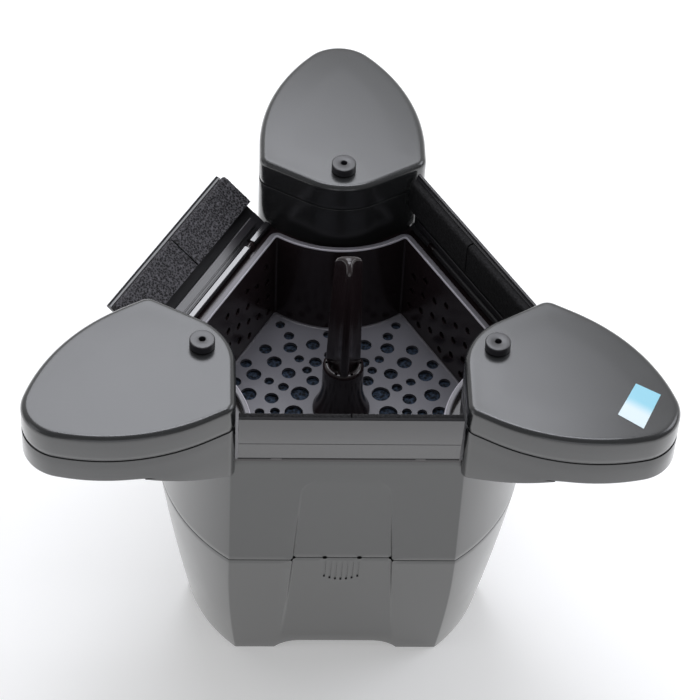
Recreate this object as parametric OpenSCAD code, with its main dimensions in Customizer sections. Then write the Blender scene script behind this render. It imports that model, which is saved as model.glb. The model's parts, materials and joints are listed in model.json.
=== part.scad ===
// Floating pond surface skimmer: three floats carry a housing with a lift-out
// basket, three hinged weir flaps and a submersible pump. Millimetres, +Z up.
// The main axis is Z; the feet stand on z = 0 and the front flap faces -Y.

/* [Housing] */
// Corner radius of the upper housing
housing_r = 166.5; // [150:0.5:200]
// Distance from the main axis to each flat side of the upper housing
flat_a = 132.5; // [118:0.5:138]
// Corner radius of the lower housing at its feet
base_r = 140.5; // [120:0.5:160]
// Distance from the main axis to each flat side at the feet
base_flat_a = 105; // [95:0.5:118]
// Height of the seam between the lower and the upper housing
seam_z = 163; // [130:1:200]
// Height of the upper housing, from the seam to the weir frame
upper_h = 135; // [110:1:170]
// Wall thickness of the housings at their corners
wall = 3; // [2.4:0.1:4]
// Wall thickness of the flat sides, which carry the recessed panels
flat_wall = 7; // [6.5:0.1:8]
// Height of the arch between two feet
arch_h = 12.8; // [8:0.2:20]
// Half width of the arch at the floor
arch_half_w = 57; // [40:1:64]
// Half width of the recessed panel at the seam
panel_half_w = 45; // [35:1:52]
// Depth of the recessed panel at the seam
panel_depth = 3.2; // [1:0.1:4]
// Number of vent slots in each lower panel
vent_count = 7; // [3:2:9]
// Height of the middle vent slot
vent_h = 27; // [18:1:34]

/* [Floats] */
// Distance from the main axis to the tip of each float
float_reach = 314.7; // [280:0.5:380]
// Half of a float's greatest width
float_half_w = 75.7; // [66:0.1:90]
// Distance from the main axis to the widest place of a float
float_wide_r = 181.5; // [176:0.5:192]
// Distance from the main axis to the middle of a float's inner side
float_inner_r = 122; // [120:0.5:128]
// Radius of the round middle of a float's inner side
inner_rad = 61; // [54:0.5:66]
// Radius of a float's rounded tip
tip_rad = 37.4; // [28:0.2:46]
// Radius of the corners between a float's sides and its inner side
shoulder_rad = 13; // [6:0.5:20]
// Height of a float's lower shell, from its underside to the seam
shell_h = 26; // [18:1:40]
// Height of a float's cover, from the seam to the start of its round edge
cover_h = 22.5; // [12:0.5:32]
// Radius of the round edge round a float's top
edge_rad = 5.5; // [3.5:0.5:9]
// Rise of a float's domed top above its round edge
crown_h = 1.5; // [0.5:0.5:5]
// Wall thickness of the floats
float_wall = 2.5; // [2:0.1:4]
// Height of the neck that carries a float above the weir frame
neck_h = 23; // [16:1:32]
// How far a float's foot reaches below the weir frame at the housing's corner
skirt_drop = 9; // [4:0.5:14]
// Slope of the foot's underside, in degrees
skirt_slope = 21.8; // [14:0.2:30]
// Diameter of the filler plug's head
plug_d = 22; // [18:0.5:28]
// Height of the filler plug's head
plug_h = 7.5; // [5:0.5:12]

/* [Weir flaps] */
// Height of a flap from its hinge axis to its top edge
flap_h = 64.5; // [50:0.5:78]
// Tilt of the front flap as it stands, outward from upright
front_tilt = 10.5; // [-40:0.5:60]
// Tilt of the right flap as it stands, outward from upright
right_tilt = 0; // [-40:0.5:60]
// Tilt of the left flap as it stands, outward from upright
left_tilt = 57; // [-40:0.5:60]
// Thickness of the flap's plate
flap_t = 2.5; // [2:0.1:3]
// Thickness of the foam pads on a flap's inner side
pad_t = 8.5; // [4:0.5:9]
// Distance from the hinge axis to the foam pads
pad_start = 26; // [25:0.5:30]
// Radius of the hinge rod
rod_r = 1.6; // [1.2:0.1:2]
// Outer radius of the hinge barrel
barrel_r = 3.5; // [3:0.1:3.8]

/* [Basket] */
// Depth of the basket from its rim to its floor
basket_depth = 91.5; // [70:0.5:96]
// Distance from the main axis to the flat sides of the basket's well
well_a = 119.5; // [116:0.5:121]
// Distance from the main axis to the middle of the well's scallops
well_mid_r = 114; // [110:0.5:116]
// Radius of the well's scallops
scallop_rad = 97.6; // [88:0.2:110]
// Inward lean of the basket's flat sides over their height
flat_lean = 5.5; // [3:0.5:8]
// Inward lean of the basket's scallops over their height
scallop_lean = 12; // [6:0.5:16]
// Wall thickness of the basket
basket_wall = 2.5; // [2:0.1:3.5]
// Thickness of the basket's floor
floor_t = 3; // [2:0.5:5]
// Diameter of the holes in the basket's side screens
screen_hole_d = 7; // [4:0.2:9]
// Distance between the columns of holes in the side screens
screen_pitch = 17.8; // [12:0.1:24]
// Distance between the rows of holes, which are staggered from column to column
screen_row = 9.4; // [6:0.1:14]
// Height of the grip's top above the basket rim
grip_rise = 102; // [70:1:120]
// Radius of the grip's socket
socket_r = 18.5; // [15:0.5:22]
// Height of the grip's socket above the floor
socket_h = 67; // [40:1:70]

/* [Pump] */
// Height of the pump's axis above the feet
pump_z = 76; // [70:1:90]
// Radius of the pump's motor body
motor_r = 31; // [26:1:34]
// Length of the pump's motor body
motor_len = 68; // [50:1:74]
// Radius of the impeller
impeller_r = 25; // [18:0.5:27]
// Bore radius of the outlet nozzle
outlet_r = 9; // [7:0.5:10]
// Bore radius of the cable gland
gland_r = 3.6; // [3:0.1:5]

/* [Hidden] */

// Colours
slate = "#5b5d61";
dark_slate = "#3c3d41";
ink = "#1d1c20";
foam_blue = "#27507f";
foam_grey = "#4b4a4c";
steel = "#b9bcc0";
rubber_black = "#17171a";

// Directions of the floats and of the flaps round the main axis
BACK = 90;
LEFT_FLOAT = 210;
RIGHT_FLOAT = 330;
FRONT = 270;
RIGHT_FLAP = 30;
LEFT_FLAP = 150;
FLOATS = [BACK, LEFT_FLOAT, RIGHT_FLOAT];
FLATS = [FRONT, RIGHT_FLAP, LEFT_FLAP];

big = 400;           // longer than any cut needs
eps = 0.01;          // overshoot of a cut past a face
seam_gap = 0.6;      // height of the gasket between the housings
flange_t = 3.5;      // thickness of the flanges at the seam
flange_w = 11;       // width of those flanges
fit_gap = 0.3;       // clearance of pieces that only sit in each other
run_gap = 0.05;      // radial clearance of a running fit

upper_z = seam_z + seam_gap;
frame_t = 3;
frame_z = upper_z + upper_h;             // underside of the weir frame
deck_z = frame_z + frame_t;              // top of the weir frame
floor_z = arch_h + 0.4;                  // underside of the housing's floor
floor_top = floor_z + wall;

hinge_a = flat_a;                        // hinge axis above the flat wall
hinge_z = deck_z + barrel_r + 1;         // hinge axis clears the frame by 1 mm
rim_h = 8.5;
rim_z = deck_z + rim_h;                  // top of the basket's rim
rim_lip = 4;
basket_z = rim_z - basket_depth - floor_t; // underside of the basket's floor
basket_top = basket_z + floor_t;         // top of the basket's floor
screen_top = deck_z - 4;

// Floats: a tip arc, two side arcs, two corners and an inner side. The inner side is
// straight and square to the flap next to it at either end, and round in the middle.
float_z = deck_z + neck_h;
float_split = float_z + shell_h;
edge_z = float_split + cover_h;
reach_d = float_reach - float_wide_r - tip_rad;
side_rad = (reach_d * reach_d + float_half_w * float_half_w - tip_rad * tip_rad)
    / (2 * (float_half_w - tip_rad));
inner_c = float_inner_r + inner_rad;
tip_turn = atan2(side_rad - float_half_w, reach_d);
flap_side = inner_c * sin(60) - inner_rad; // from a flap's middle to the inner side of a float

// Flaps fit between the inner sides of two floats
flap_gap = 2.5;
flap_half = flap_side - flap_gap;
clip_inset = 33;
clip_t = flap_half - clip_inset;
clip_w = 8;

// Plug in the float's cover, above the neck
plug_r = float_inner_r + 23.7;
plug_shank_r = 6.5;
plug_seat_z = edge_z + edge_rad + crown_h + 0.1;

well_c = well_mid_r + scallop_rad;
pump_y = impeller_r + 2;                 // puts the volute's tangent outlet on the main axis
shaft_r = 2;
pipe_wall = 4;
volute_x0 = -outlet_r - pipe_wall - 1;
volute_x1 = outlet_r + pipe_wall + 1;
volute_r = impeller_r + 12;

// ---------------------------------------------------------------- helpers

function arc_points(c, r, a0, a1, n) =
    [for (i = [0:n]) c + r * [cos(a0 + (a1 - a0) * i / n), sin(a0 + (a1 - a0) * i / n)]];
function tail(p) = [for (i = [1:len(p) - 1]) p[i]];
function turned(p, a) = [for (q = p) [q.x * cos(a) - q.y * sin(a), q.x * sin(a) + q.y * cos(a)]];
function ring(p, z) = [for (q = p) [q.x, q.y, z]];

// Closed skin through rings of equally many points, counter-clockwise from above
module loft(rings) {
    n = len(rings[0]);
    m = len(rings);
    sides = [for (k = [0:m - 2], i = [0:n - 1], half = [0, 1])
        let (a = k * n + i, b = k * n + (i + 1) % n)
        half == 0 ? [a, a + n, b + n] : [a, b + n, b]];
    polyhedron(points = [for (r = rings) each r],
        faces = concat([[for (i = [0:n - 1]) i]], sides,
            [[for (i = [n - 1:-1:0]) (m - 1) * n + i]]));
}

// Closed skin through rings that go up the outside and come down the inside
module loft_tube(rings) {
    n = len(rings[0]);
    m = len(rings);
    polyhedron(points = [for (r = rings) each r],
        faces = [for (k = [0:m - 1], i = [0:n - 1], half = [0, 1])
            let (a = k * n + i, b = k * n + (i + 1) % n, c = ((k + 1) % m) * n + i, d = ((k + 1) % m) * n + (i + 1) % n)
            half == 0 ? [a, c, d] : [a, d, b]]);
}

module at(direction) rotate([0, 0, direction]) children();

// A flat outline in (tangent, height), pushed outward along the radius
module outward(depth) rotate([90, 0, 90]) linear_extrude(depth) children();

module along_x(r, x0, x1) translate([x0, 0, 0]) rotate([0, 90, 0]) cylinder(r = r, h = x1 - x0, $fn = 64);

// Plan of the housing: a circle with three flats
module housing_plan(inset, flat_inset) intersection() {
    circle(r = housing_r - inset, $fn = 144);
    polygon([for (k = FLOATS) 2 * (flat_a - flat_inset) * [cos(k), sin(k)]]);
}

// ---------------------------------------------------------------- lower housing

// Side profile of the lower housing's corners: a slightly bowed cone, rounded at the foot
corner_bow = 1.5;
foot_round = 4;
function corner_r(z, inset) =
    let (s = z / seam_z)
    base_r + (housing_r - base_r) * s + corner_bow * 4 * s * (1 - s) - inset;
function corner_profile(inset, z0) = concat(
    [[0, z0]],
    z0 > 0 ? [] : arc_points([corner_r(foot_round, inset) - foot_round, foot_round], foot_round, -90, -20, 3),
    [for (i = [0:3]) let (z = max(z0, foot_round) + (seam_z - max(z0, foot_round)) * i / 3) [corner_r(z, inset), z]],
    [[0, seam_z]]);

flat_lean_deg = atan((flat_a - base_flat_a) / seam_z);

// Solid of the lower housing from z0 up to the seam, drawn in by inset at its
// corners and by flat_inset at its flats
module lower_body(inset, flat_inset, z0) difference() {
    rotate_extrude($fn = 144) polygon(corner_profile(inset, z0));
    for (d = FLATS) at(d) translate([flat_a - flat_inset, 0, seam_z]) rotate([0, flat_lean_deg, 0])
        translate([0, -big / 2, -big]) cube([big, big, big + 50]);
}

panel_end_z = 25;    // height at which the lower panel runs out into the flat side
panel_lean = atan((flat_a - panel_depth - base_flat_a - (flat_a - base_flat_a) * panel_end_z / seam_z)
    / (seam_z - panel_end_z));
module lower_panel() translate([flat_a - panel_depth, 0, seam_z]) rotate([0, panel_lean, 0]) outward(30)
    polygon([[-panel_half_w, 1], [panel_half_w, 1], [arch_half_w, -seam_z - 10], [-arch_half_w, -seam_z - 10]]);

arch_top_half = 33;
arch_rad = ((arch_half_w - arch_top_half) * (arch_half_w - arch_top_half) + arch_h * arch_h) / (2 * arch_h);
module arch() translate([base_flat_a - 40, 0, 0]) outward(70) intersection() {
    union() {
        translate([-arch_top_half, -1]) square([2 * arch_top_half, arch_h + 1]);
        for (s = [-1, 1]) translate([s * arch_top_half, arch_h - arch_rad]) circle(r = arch_rad, $fn = 96);
    }
    translate([-big / 2, -1]) square([big, arch_h + 1]);
}

vent_w = 1.6;
vent_pitch = 5;
vent_fan = 1.2;      // each slot is shorter than the middle one by this times its place squared
module vents() for (k = [0:vent_count - 1]) let (p = k - (vent_count - 1) / 2, h = vent_h - vent_fan * p * p)
    translate([flat_a - 40, p * vent_pitch, seam_z - 5]) outward(50)
        translate([-vent_w / 2, -h]) square([vent_w, h]);

// Drain holes on the seam, at the panel's edges and beside the vents
drain_r = 2.2;
module drains() for (t = [-panel_half_w, -15, 15, panel_half_w])
    translate([flat_a - flat_wall - 4, t, seam_z + seam_gap / 2]) rotate([0, 90, 0])
        cylinder(r = drain_r, h = flat_wall + 8, $fn = 24);

screw_r = 2;
housing_screw_turn = 17;
housing_screw_r = housing_r - wall - flange_w / 2;
module housing_screw_places() for (d = FLOATS, s = [-1, 1]) at(d + s * housing_screw_turn)
    translate([housing_screw_r, 0, 0]) children();

gland_z = 46;
gland_seat = corner_r(gland_z + 10.5, 0) + 0.3;
gland_boss = 9;      // depth of the gland's seat, which reaches inside past the leaning wall
gland_thread = 9;    // length of the gland's thread past its seat

floor_rest = 3;      // the corners are thicker below the floor plate, which rests on them
module lower_housing() color(slate) difference() {
    union() {
        difference() {
            lower_body(0, 0, 0);
            lower_body(wall, flat_wall, floor_z);
            intersection() {
                lower_body(wall + floor_rest, flat_wall, 0);
                translate([0, 0, -eps]) cylinder(r = big, h = floor_z + 2 * eps);
            }
        }
        // inner flange under the seam
        translate([0, 0, seam_z - flange_t]) linear_extrude(flange_t) difference() {
            housing_plan(wall - 1, flat_wall - 3);
            housing_plan(wall + flange_w, flat_wall + 3);
        }
        // seat of the cable gland
        at(BACK) translate([gland_seat - gland_boss, 0, gland_z]) rotate([0, 90, 0])
            cylinder(r = 14, h = gland_boss, $fn = 48);
    }
    for (d = FLATS) at(d) {
        lower_panel();
        arch();
        vents();
        drains();
    }
    at(BACK) translate([gland_seat - 20, 0, gland_z]) rotate([0, 90, 0]) cylinder(r = gland_r + 4.4, h = 30, $fn = 48);
    housing_screw_places() translate([0, 0, seam_z - 10]) cylinder(r = screw_r + 0.3, h = 20, $fn = 24);
}

// Plan of the space inside the lower housing at the floor's height, drawn in
module floor_plan(inset) let (lean = (flat_a - base_flat_a) * floor_z / seam_z) intersection() {
    circle(r = corner_r(floor_z, wall) - inset, $fn = 144);
    polygon([for (k = FLOATS) 2 * (base_flat_a + lean - flat_wall - inset) * [cos(k), sin(k)]]);
}

// Floor plate, which rests on the lower housing's ledge
module housing_floor() color(dark_slate) translate([0, 0, floor_z]) difference() {
    linear_extrude(wall) floor_plan(fit_gap);
    translate([0, 0, -1]) cylinder(r = outlet_r + 4.2, h = wall + 2, $fn = 64);
}

module housing_gasket() color(rubber_black) translate([0, 0, seam_z]) linear_extrude(seam_gap) difference() {
    housing_plan(wall, flat_wall - 1);
    housing_plan(wall + flange_w, flat_wall + 3);
    housing_screw_places() circle(r = screw_r + 0.3, $fn = 24);
    for (d = FLATS) at(d) translate([flat_a - 20, -panel_half_w - drain_r - 1]) square([20, 2 * (panel_half_w + drain_r + 1)]);
}

// Pan-head screw, head down, its head's seat at z = 0
module pan_screw(r, length, head_r, head_h) {
    translate([0, 0, -head_h]) cylinder(r = head_r, h = head_h, $fn = 32);
    translate([0, 0, -eps]) cylinder(r = r, h = length + eps, $fn = 32);
}

module housing_screws() color(steel) housing_screw_places() translate([0, 0, seam_z - flange_t])
    pan_screw(screw_r, 2 * flange_t + seam_gap, 4, 2.4);

// ---------------------------------------------------------------- upper housing

niche_half_w = 40;
niche_top = 107;      // height of the niche above the seam
niche_round = 12;
niche_lean = atan(panel_depth / niche_top);
module upper_niche() translate([flat_a - panel_depth, 0, upper_z]) rotate([0, -(-niche_lean), 0]) outward(30)
    difference() {
        polygon([[-panel_half_w, -1], [panel_half_w, -1], [niche_half_w, niche_top], [-niche_half_w, niche_top]]);
        for (s = [-1, 1]) translate([s * (niche_half_w - niche_round), niche_top - niche_round]) difference() {
            translate([s > 0 ? 0 : -2 * niche_round, 0]) square([2 * niche_round, niche_round + 1]);
            circle(r = niche_round, $fn = 48);
        }
    }

module upper_housing() color(slate) difference() {
    union() {
        translate([0, 0, upper_z]) linear_extrude(upper_h) difference() {
            housing_plan(0, 0);
            housing_plan(wall, flat_wall);
        }
        translate([0, 0, upper_z]) linear_extrude(flange_t) difference() {
            housing_plan(wall - 1, flat_wall - 1);
            housing_plan(wall + flange_w, flat_wall + 3);
        }
    }
    for (d = FLATS) at(d) {
        upper_niche();
        drains();
    }
    housing_screw_places() translate([0, 0, upper_z - 1]) cylinder(r = screw_r + 0.05, h = flange_t + 2, $fn = 24);
}

// ---------------------------------------------------------------- well and basket outlines

// Triangular outline with three scallops: apothem a, scallop centre c and radius r,
// and corners rounded with radius f, in a float's own direction
function scallop_half(a, c, r, f) =
    let (k = 2 * (a - f) - c,
         t = (2 * sqrt(3) * k + sqrt(16 * (r + f) * (r + f) - 4 * k * k)) / 8,
         p = [2 * (a - f) - sqrt(3) * t, t],
         end = atan2(-t, c - p.x),
         start = atan2(t, p.x - c))
    concat(arc_points(p, f, 60, end, 4), tail(arc_points([c, 0], r, start, 180, 6)));
function scallop_side(a, c, r, f) =
    let (h = scallop_half(a, c, r, f))
    concat([for (i = [len(h) - 1:-1:0]) [h[i].x, -h[i].y]], tail([for (q = h) q]));
function well_outline(a, mid, r, f) =
    [for (d = FLOATS) each turned(let (h = scallop_half(a, mid + r, r, f), n = len(h))
        concat([for (i = [0:n - 2]) [h[i].x, -h[i].y]], [for (i = [n - 1:-1:0]) h[i]]), d)];

corner_f = 9;
// Outline of the well, grown outward by d
function well_at(d) = well_outline(well_a + d, well_mid_r + d, scallop_rad - d, corner_f + d);
// Outline of the basket at height z, grown outward by d; it leans in towards its floor
function basket_at(z, d) =
    let (s = (rim_z - z) / (rim_z - basket_z), g = d - fit_gap - 0.7,
         a = well_a + g - flat_lean * s, m = well_mid_r + g - scallop_lean * s)
    well_outline(a, m, scallop_rad - g - 8 * s, corner_f + d);

// ---------------------------------------------------------------- weir frame

module weir_frame() color(ink) difference() {
    union() {
        translate([0, 0, frame_z]) linear_extrude(frame_t) housing_plan(0, 0);
        translate([0, 0, frame_z - 6]) linear_extrude(6 + eps) difference() {
            housing_plan(wall + fit_gap, flat_wall + fit_gap);
            housing_plan(wall + fit_gap + 2.5, flat_wall + fit_gap + 2);
        }
    }
    translate([0, 0, frame_z - 10]) linear_extrude(20) polygon(well_at(0));
    float_screw_places() translate([0, 0, frame_z - 1]) cylinder(r = float_screw_r + 0.3, h = frame_t + 2, $fn = 24);
}

// ---------------------------------------------------------------- filter foam and its grate

grate_t = 4;
grate_z = upper_z + flange_t;
foam_z = grate_z + grate_t;
grate_pitch = 18;
grate_hole_r = 6;
module foam_grate() color(dark_slate) translate([0, 0, grate_z]) difference() {
    linear_extrude(grate_t) housing_plan(wall + fit_gap, flat_wall + fit_gap);
    for (i = [-8:8], j = [-8:8])
        let (x = (i + j / 2) * grate_pitch, y = j * grate_pitch * sin(60),
             a = max([for (d = FLATS) x * cos(d) + y * sin(d)]))
        if (norm([x, y]) < housing_r - 18 && a < flat_a - flat_wall - grate_hole_r - 6)
            translate([x, y, -1]) cylinder(r = grate_hole_r, h = grate_t + 2, $fn = 24);
}

foam_gap = 2;
grip_screw_head_r = 4.5;
grip_screw_head_h = 2.5;
module filter_foam() color(foam_blue) difference() {
    translate([0, 0, foam_z]) linear_extrude(basket_z - foam_z) polygon(well_outline(
        well_a - flat_lean - foam_gap, well_mid_r - scallop_lean - foam_gap, scallop_rad, corner_f));
    // pocket for the head of the grip's screw
    translate([0, 0, basket_z - grip_screw_head_h - 1.5]) cylinder(r = grip_screw_head_r + 1.5, h = 10, $fn = 48);
}

// ---------------------------------------------------------------- basket

// Walls and rolled rim of the basket, with its side windows still closed: up the
// outside, over the rim and down the inside
module basket_shell() loft_tube([
    ring(basket_at(basket_top, 0), basket_top),
    ring(basket_at(deck_z, 0), deck_z),
    ring(basket_at(deck_z, rim_lip), deck_z),
    ring(basket_at(deck_z, rim_lip), rim_z - 3),
    ring(basket_at(deck_z, rim_lip - 0.9), rim_z - 0.9),
    ring(basket_at(deck_z, rim_lip - 3), rim_z),
    ring(basket_at(rim_z, 1.5 - basket_wall), rim_z),
    ring(basket_at(rim_z - 2, -basket_wall), rim_z - 2),
    ring(basket_at(basket_top, -basket_wall), basket_top)]);

// A flat side of the basket leans by screen_lean; its window and its screen share one frame,
// with x outward from the outer face and z up the wall from the rim
screen_lean = atan(flat_lean / (rim_z - basket_z));
screen_margin = 5;
screen_w = 146;
screen_low = (basket_top + screen_margin - rim_z) / cos(screen_lean);
screen_high = (screen_top - screen_margin - rim_z) / cos(screen_lean);
screen_t = basket_wall * cos(screen_lean);
module at_screen(direction) at(direction) translate([well_a - fit_gap - 0.7, 0, rim_z])
    rotate([0, screen_lean, 0]) children();

module basket_frame() color(ink) difference() {
    basket_shell();
    for (d = FLATS) at_screen(d) translate([-screen_t - 2, -screen_w / 2, screen_low])
        cube([screen_t + 4, screen_w, screen_high - screen_low]);
}

module basket_screen(direction) color(ink) at_screen(direction) difference() {
    translate([-screen_t, -screen_w / 2, screen_low]) cube([screen_t, screen_w, screen_high - screen_low]);
    rows = floor((screen_high - screen_low - screen_hole_d - 2) / screen_row) + 1;
    cols = floor((screen_w - screen_hole_d - 2) / screen_pitch) + 1;
    for (i = [0:cols - 1], j = [0:rows - 1]) if ((i + j) % 2 == 0)
        translate([-screen_t - 1, (i - (cols - 1) / 2) * screen_pitch,
            (screen_low + screen_high) / 2 + (j - (rows - 1) / 2) * screen_row])
            rotate([0, 90, 0]) cylinder(r = screen_hole_d / 2, h = screen_t + 2, $fn = 24);
}

// Water holes in one half of the basket's floor: x, y and diameter
FLOOR_HOLES = [
    [54, 104, 9], [46, 90, 10], [24, 79, 13], [45, 75, 13], [68, 73, 12], [37, 61, 9], [60, 57, 14],
    [86, 55, 11], [22, 57, 12], [30, 47, 9], [47, 43, 13], [79, 41, 14], [65, 33, 9], [96, 32, 11],
    [25, 34, 12], [52, 26, 10], [37, 18, 17], [84, 17, 15], [63, 12, 13], [90, -4, 14], [74, -5, 9],
    [60, -4, 9], [43, -5, 17], [36, -24, 12], [54, -24, 14], [74, -26, 12], [24, -40, 12], [42, -43, 14],
    [62, -44, 10], [78, -44, 9], [30, -60, 9], [50, -62, 16], [70, -64, 9], [16, -68, 14], [34, -80, 13],
    [54, -84, 12], [66, -98, 9], [16, -94, 9], [34, -101, 10], [51, -101, 9], [10, 92, 9], [9, 66, 10]];
module basket_floor() color("#37353c") difference() {
    translate([0, 0, basket_z]) loft([ring(basket_at(basket_z, 0), 0), ring(basket_at(basket_top, 0), floor_t)]);
    for (h = FLOOR_HOLES, s = [-1, 1])
        translate([s * h.x, h.y, basket_z - 1]) cylinder(r = h[2] / 2, h = floor_t + 2, $fn = 24);
    translate([0, 0, basket_z - 1]) cylinder(r = grip_screw_r + 0.3, h = floor_t + 2, $fn = 24);
}

// ---------------------------------------------------------------- grip

flare_r = 26;
flare_h = 34;
flare_foot = 2.5;    // height of the flare's upright foot
flare_rad = ((flare_r - socket_r) * (flare_r - socket_r) + (flare_h - flare_foot) * (flare_h - flare_foot))
    / (2 * (flare_r - socket_r));
socket_z = basket_top + socket_h;
grip_screw_r = 2.5;
grip_seat_r = 12.5;
module grip_socket() color(ink) difference() {
    translate([0, 0, basket_top]) rotate_extrude($fn = 96) polygon(concat(
        [[0, 0], [flare_r, 0]],
        arc_points([socket_r + flare_rad, flare_h], flare_rad,
            180 + asin((flare_h - flare_foot) / flare_rad), 180, 8),
        [[socket_r, socket_h - 5]],
        arc_points([socket_r - 4, socket_h - 4], 4, 0, 90, 4),
        [[0, socket_h]]));
    translate([0, 0, socket_z - 14]) cylinder(r = grip_seat_r, h = 20, $fn = 64);
    translate([0, 0, basket_top - 1]) cylinder(r = grip_screw_r + 0.3, h = socket_h, $fn = 24);
    // small round holes beside each ridge of the grip
    for (d = FLATS, s = [-1, 1]) at(d + s * 27) translate([grip_seat_r + 2.6, 0, socket_z - 6])
        cylinder(r = 1.4, h = 10, $fn = 16);
}

grip_top = rim_z + grip_rise;
// Section of the grip: a three-sided shape with rounded ridges towards the flats
function grip_section(r, round_r) = [for (d = FLATS) each arc_points((r - round_r) * [cos(d), sin(d)], round_r, d - 60, d + 60, 6)];
module grip() color(ink) difference() {
    union() {
        translate([0, 0, socket_z - 14]) cylinder(r = grip_seat_r - 0.1, h = 14 + eps, $fn = 64);
        loft([
            ring(grip_section(17.6, 7.5), socket_z),
            ring(grip_section(17.2, 6.5), socket_z + (grip_top - socket_z) * 0.3),
            ring(grip_section(16.2, 5), socket_z + (grip_top - socket_z) * 0.6),
            ring(grip_section(15.2, 4), grip_top - 9),
            ring(grip_section(14.2, 3.8), grip_top - 3.5),
            ring(grip_section(12, 3.5), grip_top - 0.8),
            ring(grip_section(8.5, 3), grip_top)]);
    }
    translate([0, 0, socket_z - 15]) cylinder(r = grip_screw_r - 0.1, h = 13, $fn = 24);
}

module grip_screw() color(steel) translate([0, 0, basket_z]) pan_screw(grip_screw_r - 0.1, floor_t + socket_h - 3,
    grip_screw_head_r, grip_screw_head_h);

// ---------------------------------------------------------------- pump

module at_pump() translate([0, pump_y, pump_z]) children();

rotor_well_r = 13;
rotor_r = 11.6;
rib_pitch = (motor_len - 22) / 5;
rotor_end = volute_x1 + motor_len - 18;
module pump_motor() color(dark_slate) at_pump() difference() {
    union() {
        along_x(motor_r, volute_x1, volute_x1 + motor_len);
        along_x(volute_r, volute_x1, volute_x1 + 4);
        for (k = [0:4]) along_x(motor_r + 2, volute_x1 + 12 + k * rib_pitch, volute_x1 + 16 + k * rib_pitch);
        along_x(9, volute_x1 + motor_len - 1, volute_x1 + motor_len + 9);
    }
    along_x(rotor_well_r, volute_x1 - 1, rotor_end + 2);
    along_x(3.5, volute_x1 + motor_len - 4, volute_x1 + motor_len + 12);
}

spigot_r = outlet_r + 2;
spigot_h = 8;
pipe_step = 1.5;     // the volute's pipe is narrower than the nozzle, which stops a hose tail there
module pump_volute() color(ink) difference() {
    union() {
        at_pump() along_x(volute_r, volute_x0, volute_x1);
        translate([0, 0, nozzle_top]) cylinder(r = outlet_r + pipe_wall, h = pump_z - nozzle_top, $fn = 64);
    }
    at_pump() along_x(impeller_r + 6, volute_x0 + 3, volute_x1 + 1);
    at_pump() along_x(12, volute_x0 - 1, volute_x0 + 5);
    translate([0, 0, nozzle_top - 1]) cylinder(r = outlet_r - pipe_step, h = pump_z - nozzle_top + 1, $fn = 64);
    translate([0, 0, nozzle_top - 1]) cylinder(r = spigot_r + 0.1, h = spigot_h + 1.3, $fn = 64);
}

strainer_r = 22;
strainer_len = 26;
module pump_strainer() color(ink) at_pump() difference() {
    along_x(strainer_r, volute_x0 - strainer_len, volute_x0);
    along_x(strainer_r - 2.5, volute_x0 - strainer_len + 2.5, volute_x0 - 3);
    difference() {
        along_x(12, volute_x0 - 4, volute_x0 + 1);
        along_x(5, volute_x0 - 5, volute_x0 + 2);
        for (k = [0:2]) rotate([k * 120, 0, 0]) translate([volute_x0 - 5, -1.2, 0]) cube([7, 2.4, 14]);
    }
    along_x(shaft_r + 0.02, volute_x0 - 2.5, volute_x0 + 1);
    for (k = [0:15]) rotate([k * 22.5, 0, 0])
        translate([volute_x0 - strainer_len + 5, -1.5, strainer_r - 5]) cube([strainer_len - 11, 3, 8]);
}

blade_count = 6;
module impeller() color("#8a8d92") at_pump() difference() {
    union() {
        along_x(impeller_r, 7, 9.5);
        along_x(6, -7, 8);
        along_x(rotor_r, 9, rotor_end);
        for (k = [0:blade_count - 1]) rotate([k * 360 / blade_count, 0, 0]) translate([-6, 0, 0]) rotate([0, 90, 0])
            linear_extrude(14) intersection() {
                translate([0, 14]) difference() {
                    circle(r = 15, $fn = 64);
                    circle(r = 13, $fn = 64);
                }
                circle(r = impeller_r - 0.5, $fn = 64);
                translate([0, -1]) square([big, big]);
            }
    }
    along_x(shaft_r + run_gap, -8, rotor_end + 1);
}

module impeller_shaft() color(steel) at_pump() along_x(shaft_r, volute_x0 - 2.5, rotor_end + 2);

cradle_t = 6;
foot_t = 4;
cradle_z = floor_top + foot_t;
CRADLE_X = [volute_x1 + 10, volute_x1 + motor_len - 24];
module pump_cradle() color(dark_slate) difference() {
    union() {
        translate([CRADLE_X[0] - 4, pump_y - 26, cradle_z]) cube([CRADLE_X[1] - CRADLE_X[0] + cradle_t + 8, 52, 4]);
        for (x = CRADLE_X) translate([x, pump_y - 22, cradle_z]) cube([cradle_t, 44, pump_z - cradle_z - 12]);
    }
    at_pump() along_x(motor_r + 2.1, volute_x1 - 20, volute_x1 + motor_len + 20);
}

module pump_feet() color(rubber_black) for (x = [CRADLE_X[0] + 4, CRADLE_X[1] + 2], s = [-1, 1])
    translate([x, pump_y + s * 19, floor_top]) cylinder(r = 6, h = foot_t, $fn = 32);

nozzle_low = 3;
nozzle_top = floor_top + 14;
module outlet_nozzle() color(ink) difference() {
    union() {
        translate([0, 0, nozzle_low]) cylinder(r = outlet_r + 4, h = nozzle_top - nozzle_low, $fn = 64);
        translate([0, 0, floor_top + 1.5]) cylinder(r = outlet_r + 9, h = 3, $fn = 64);
        translate([0, 0, nozzle_top - 1]) cylinder(r = spigot_r, h = spigot_h + 1, $fn = 64);
    }
    translate([0, 0, nozzle_low - 1]) cylinder(r = outlet_r, h = nozzle_top + spigot_h - nozzle_low + 2, $fn = 64);
}

module nozzle_nut() color(ink) translate([0, 0, floor_z - 5]) difference() {
    cylinder(r = outlet_r + 11, h = 5, $fn = 6);
    translate([0, 0, -1]) cylinder(r = outlet_r + 4.1, h = 7, $fn = 64);
}

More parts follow.
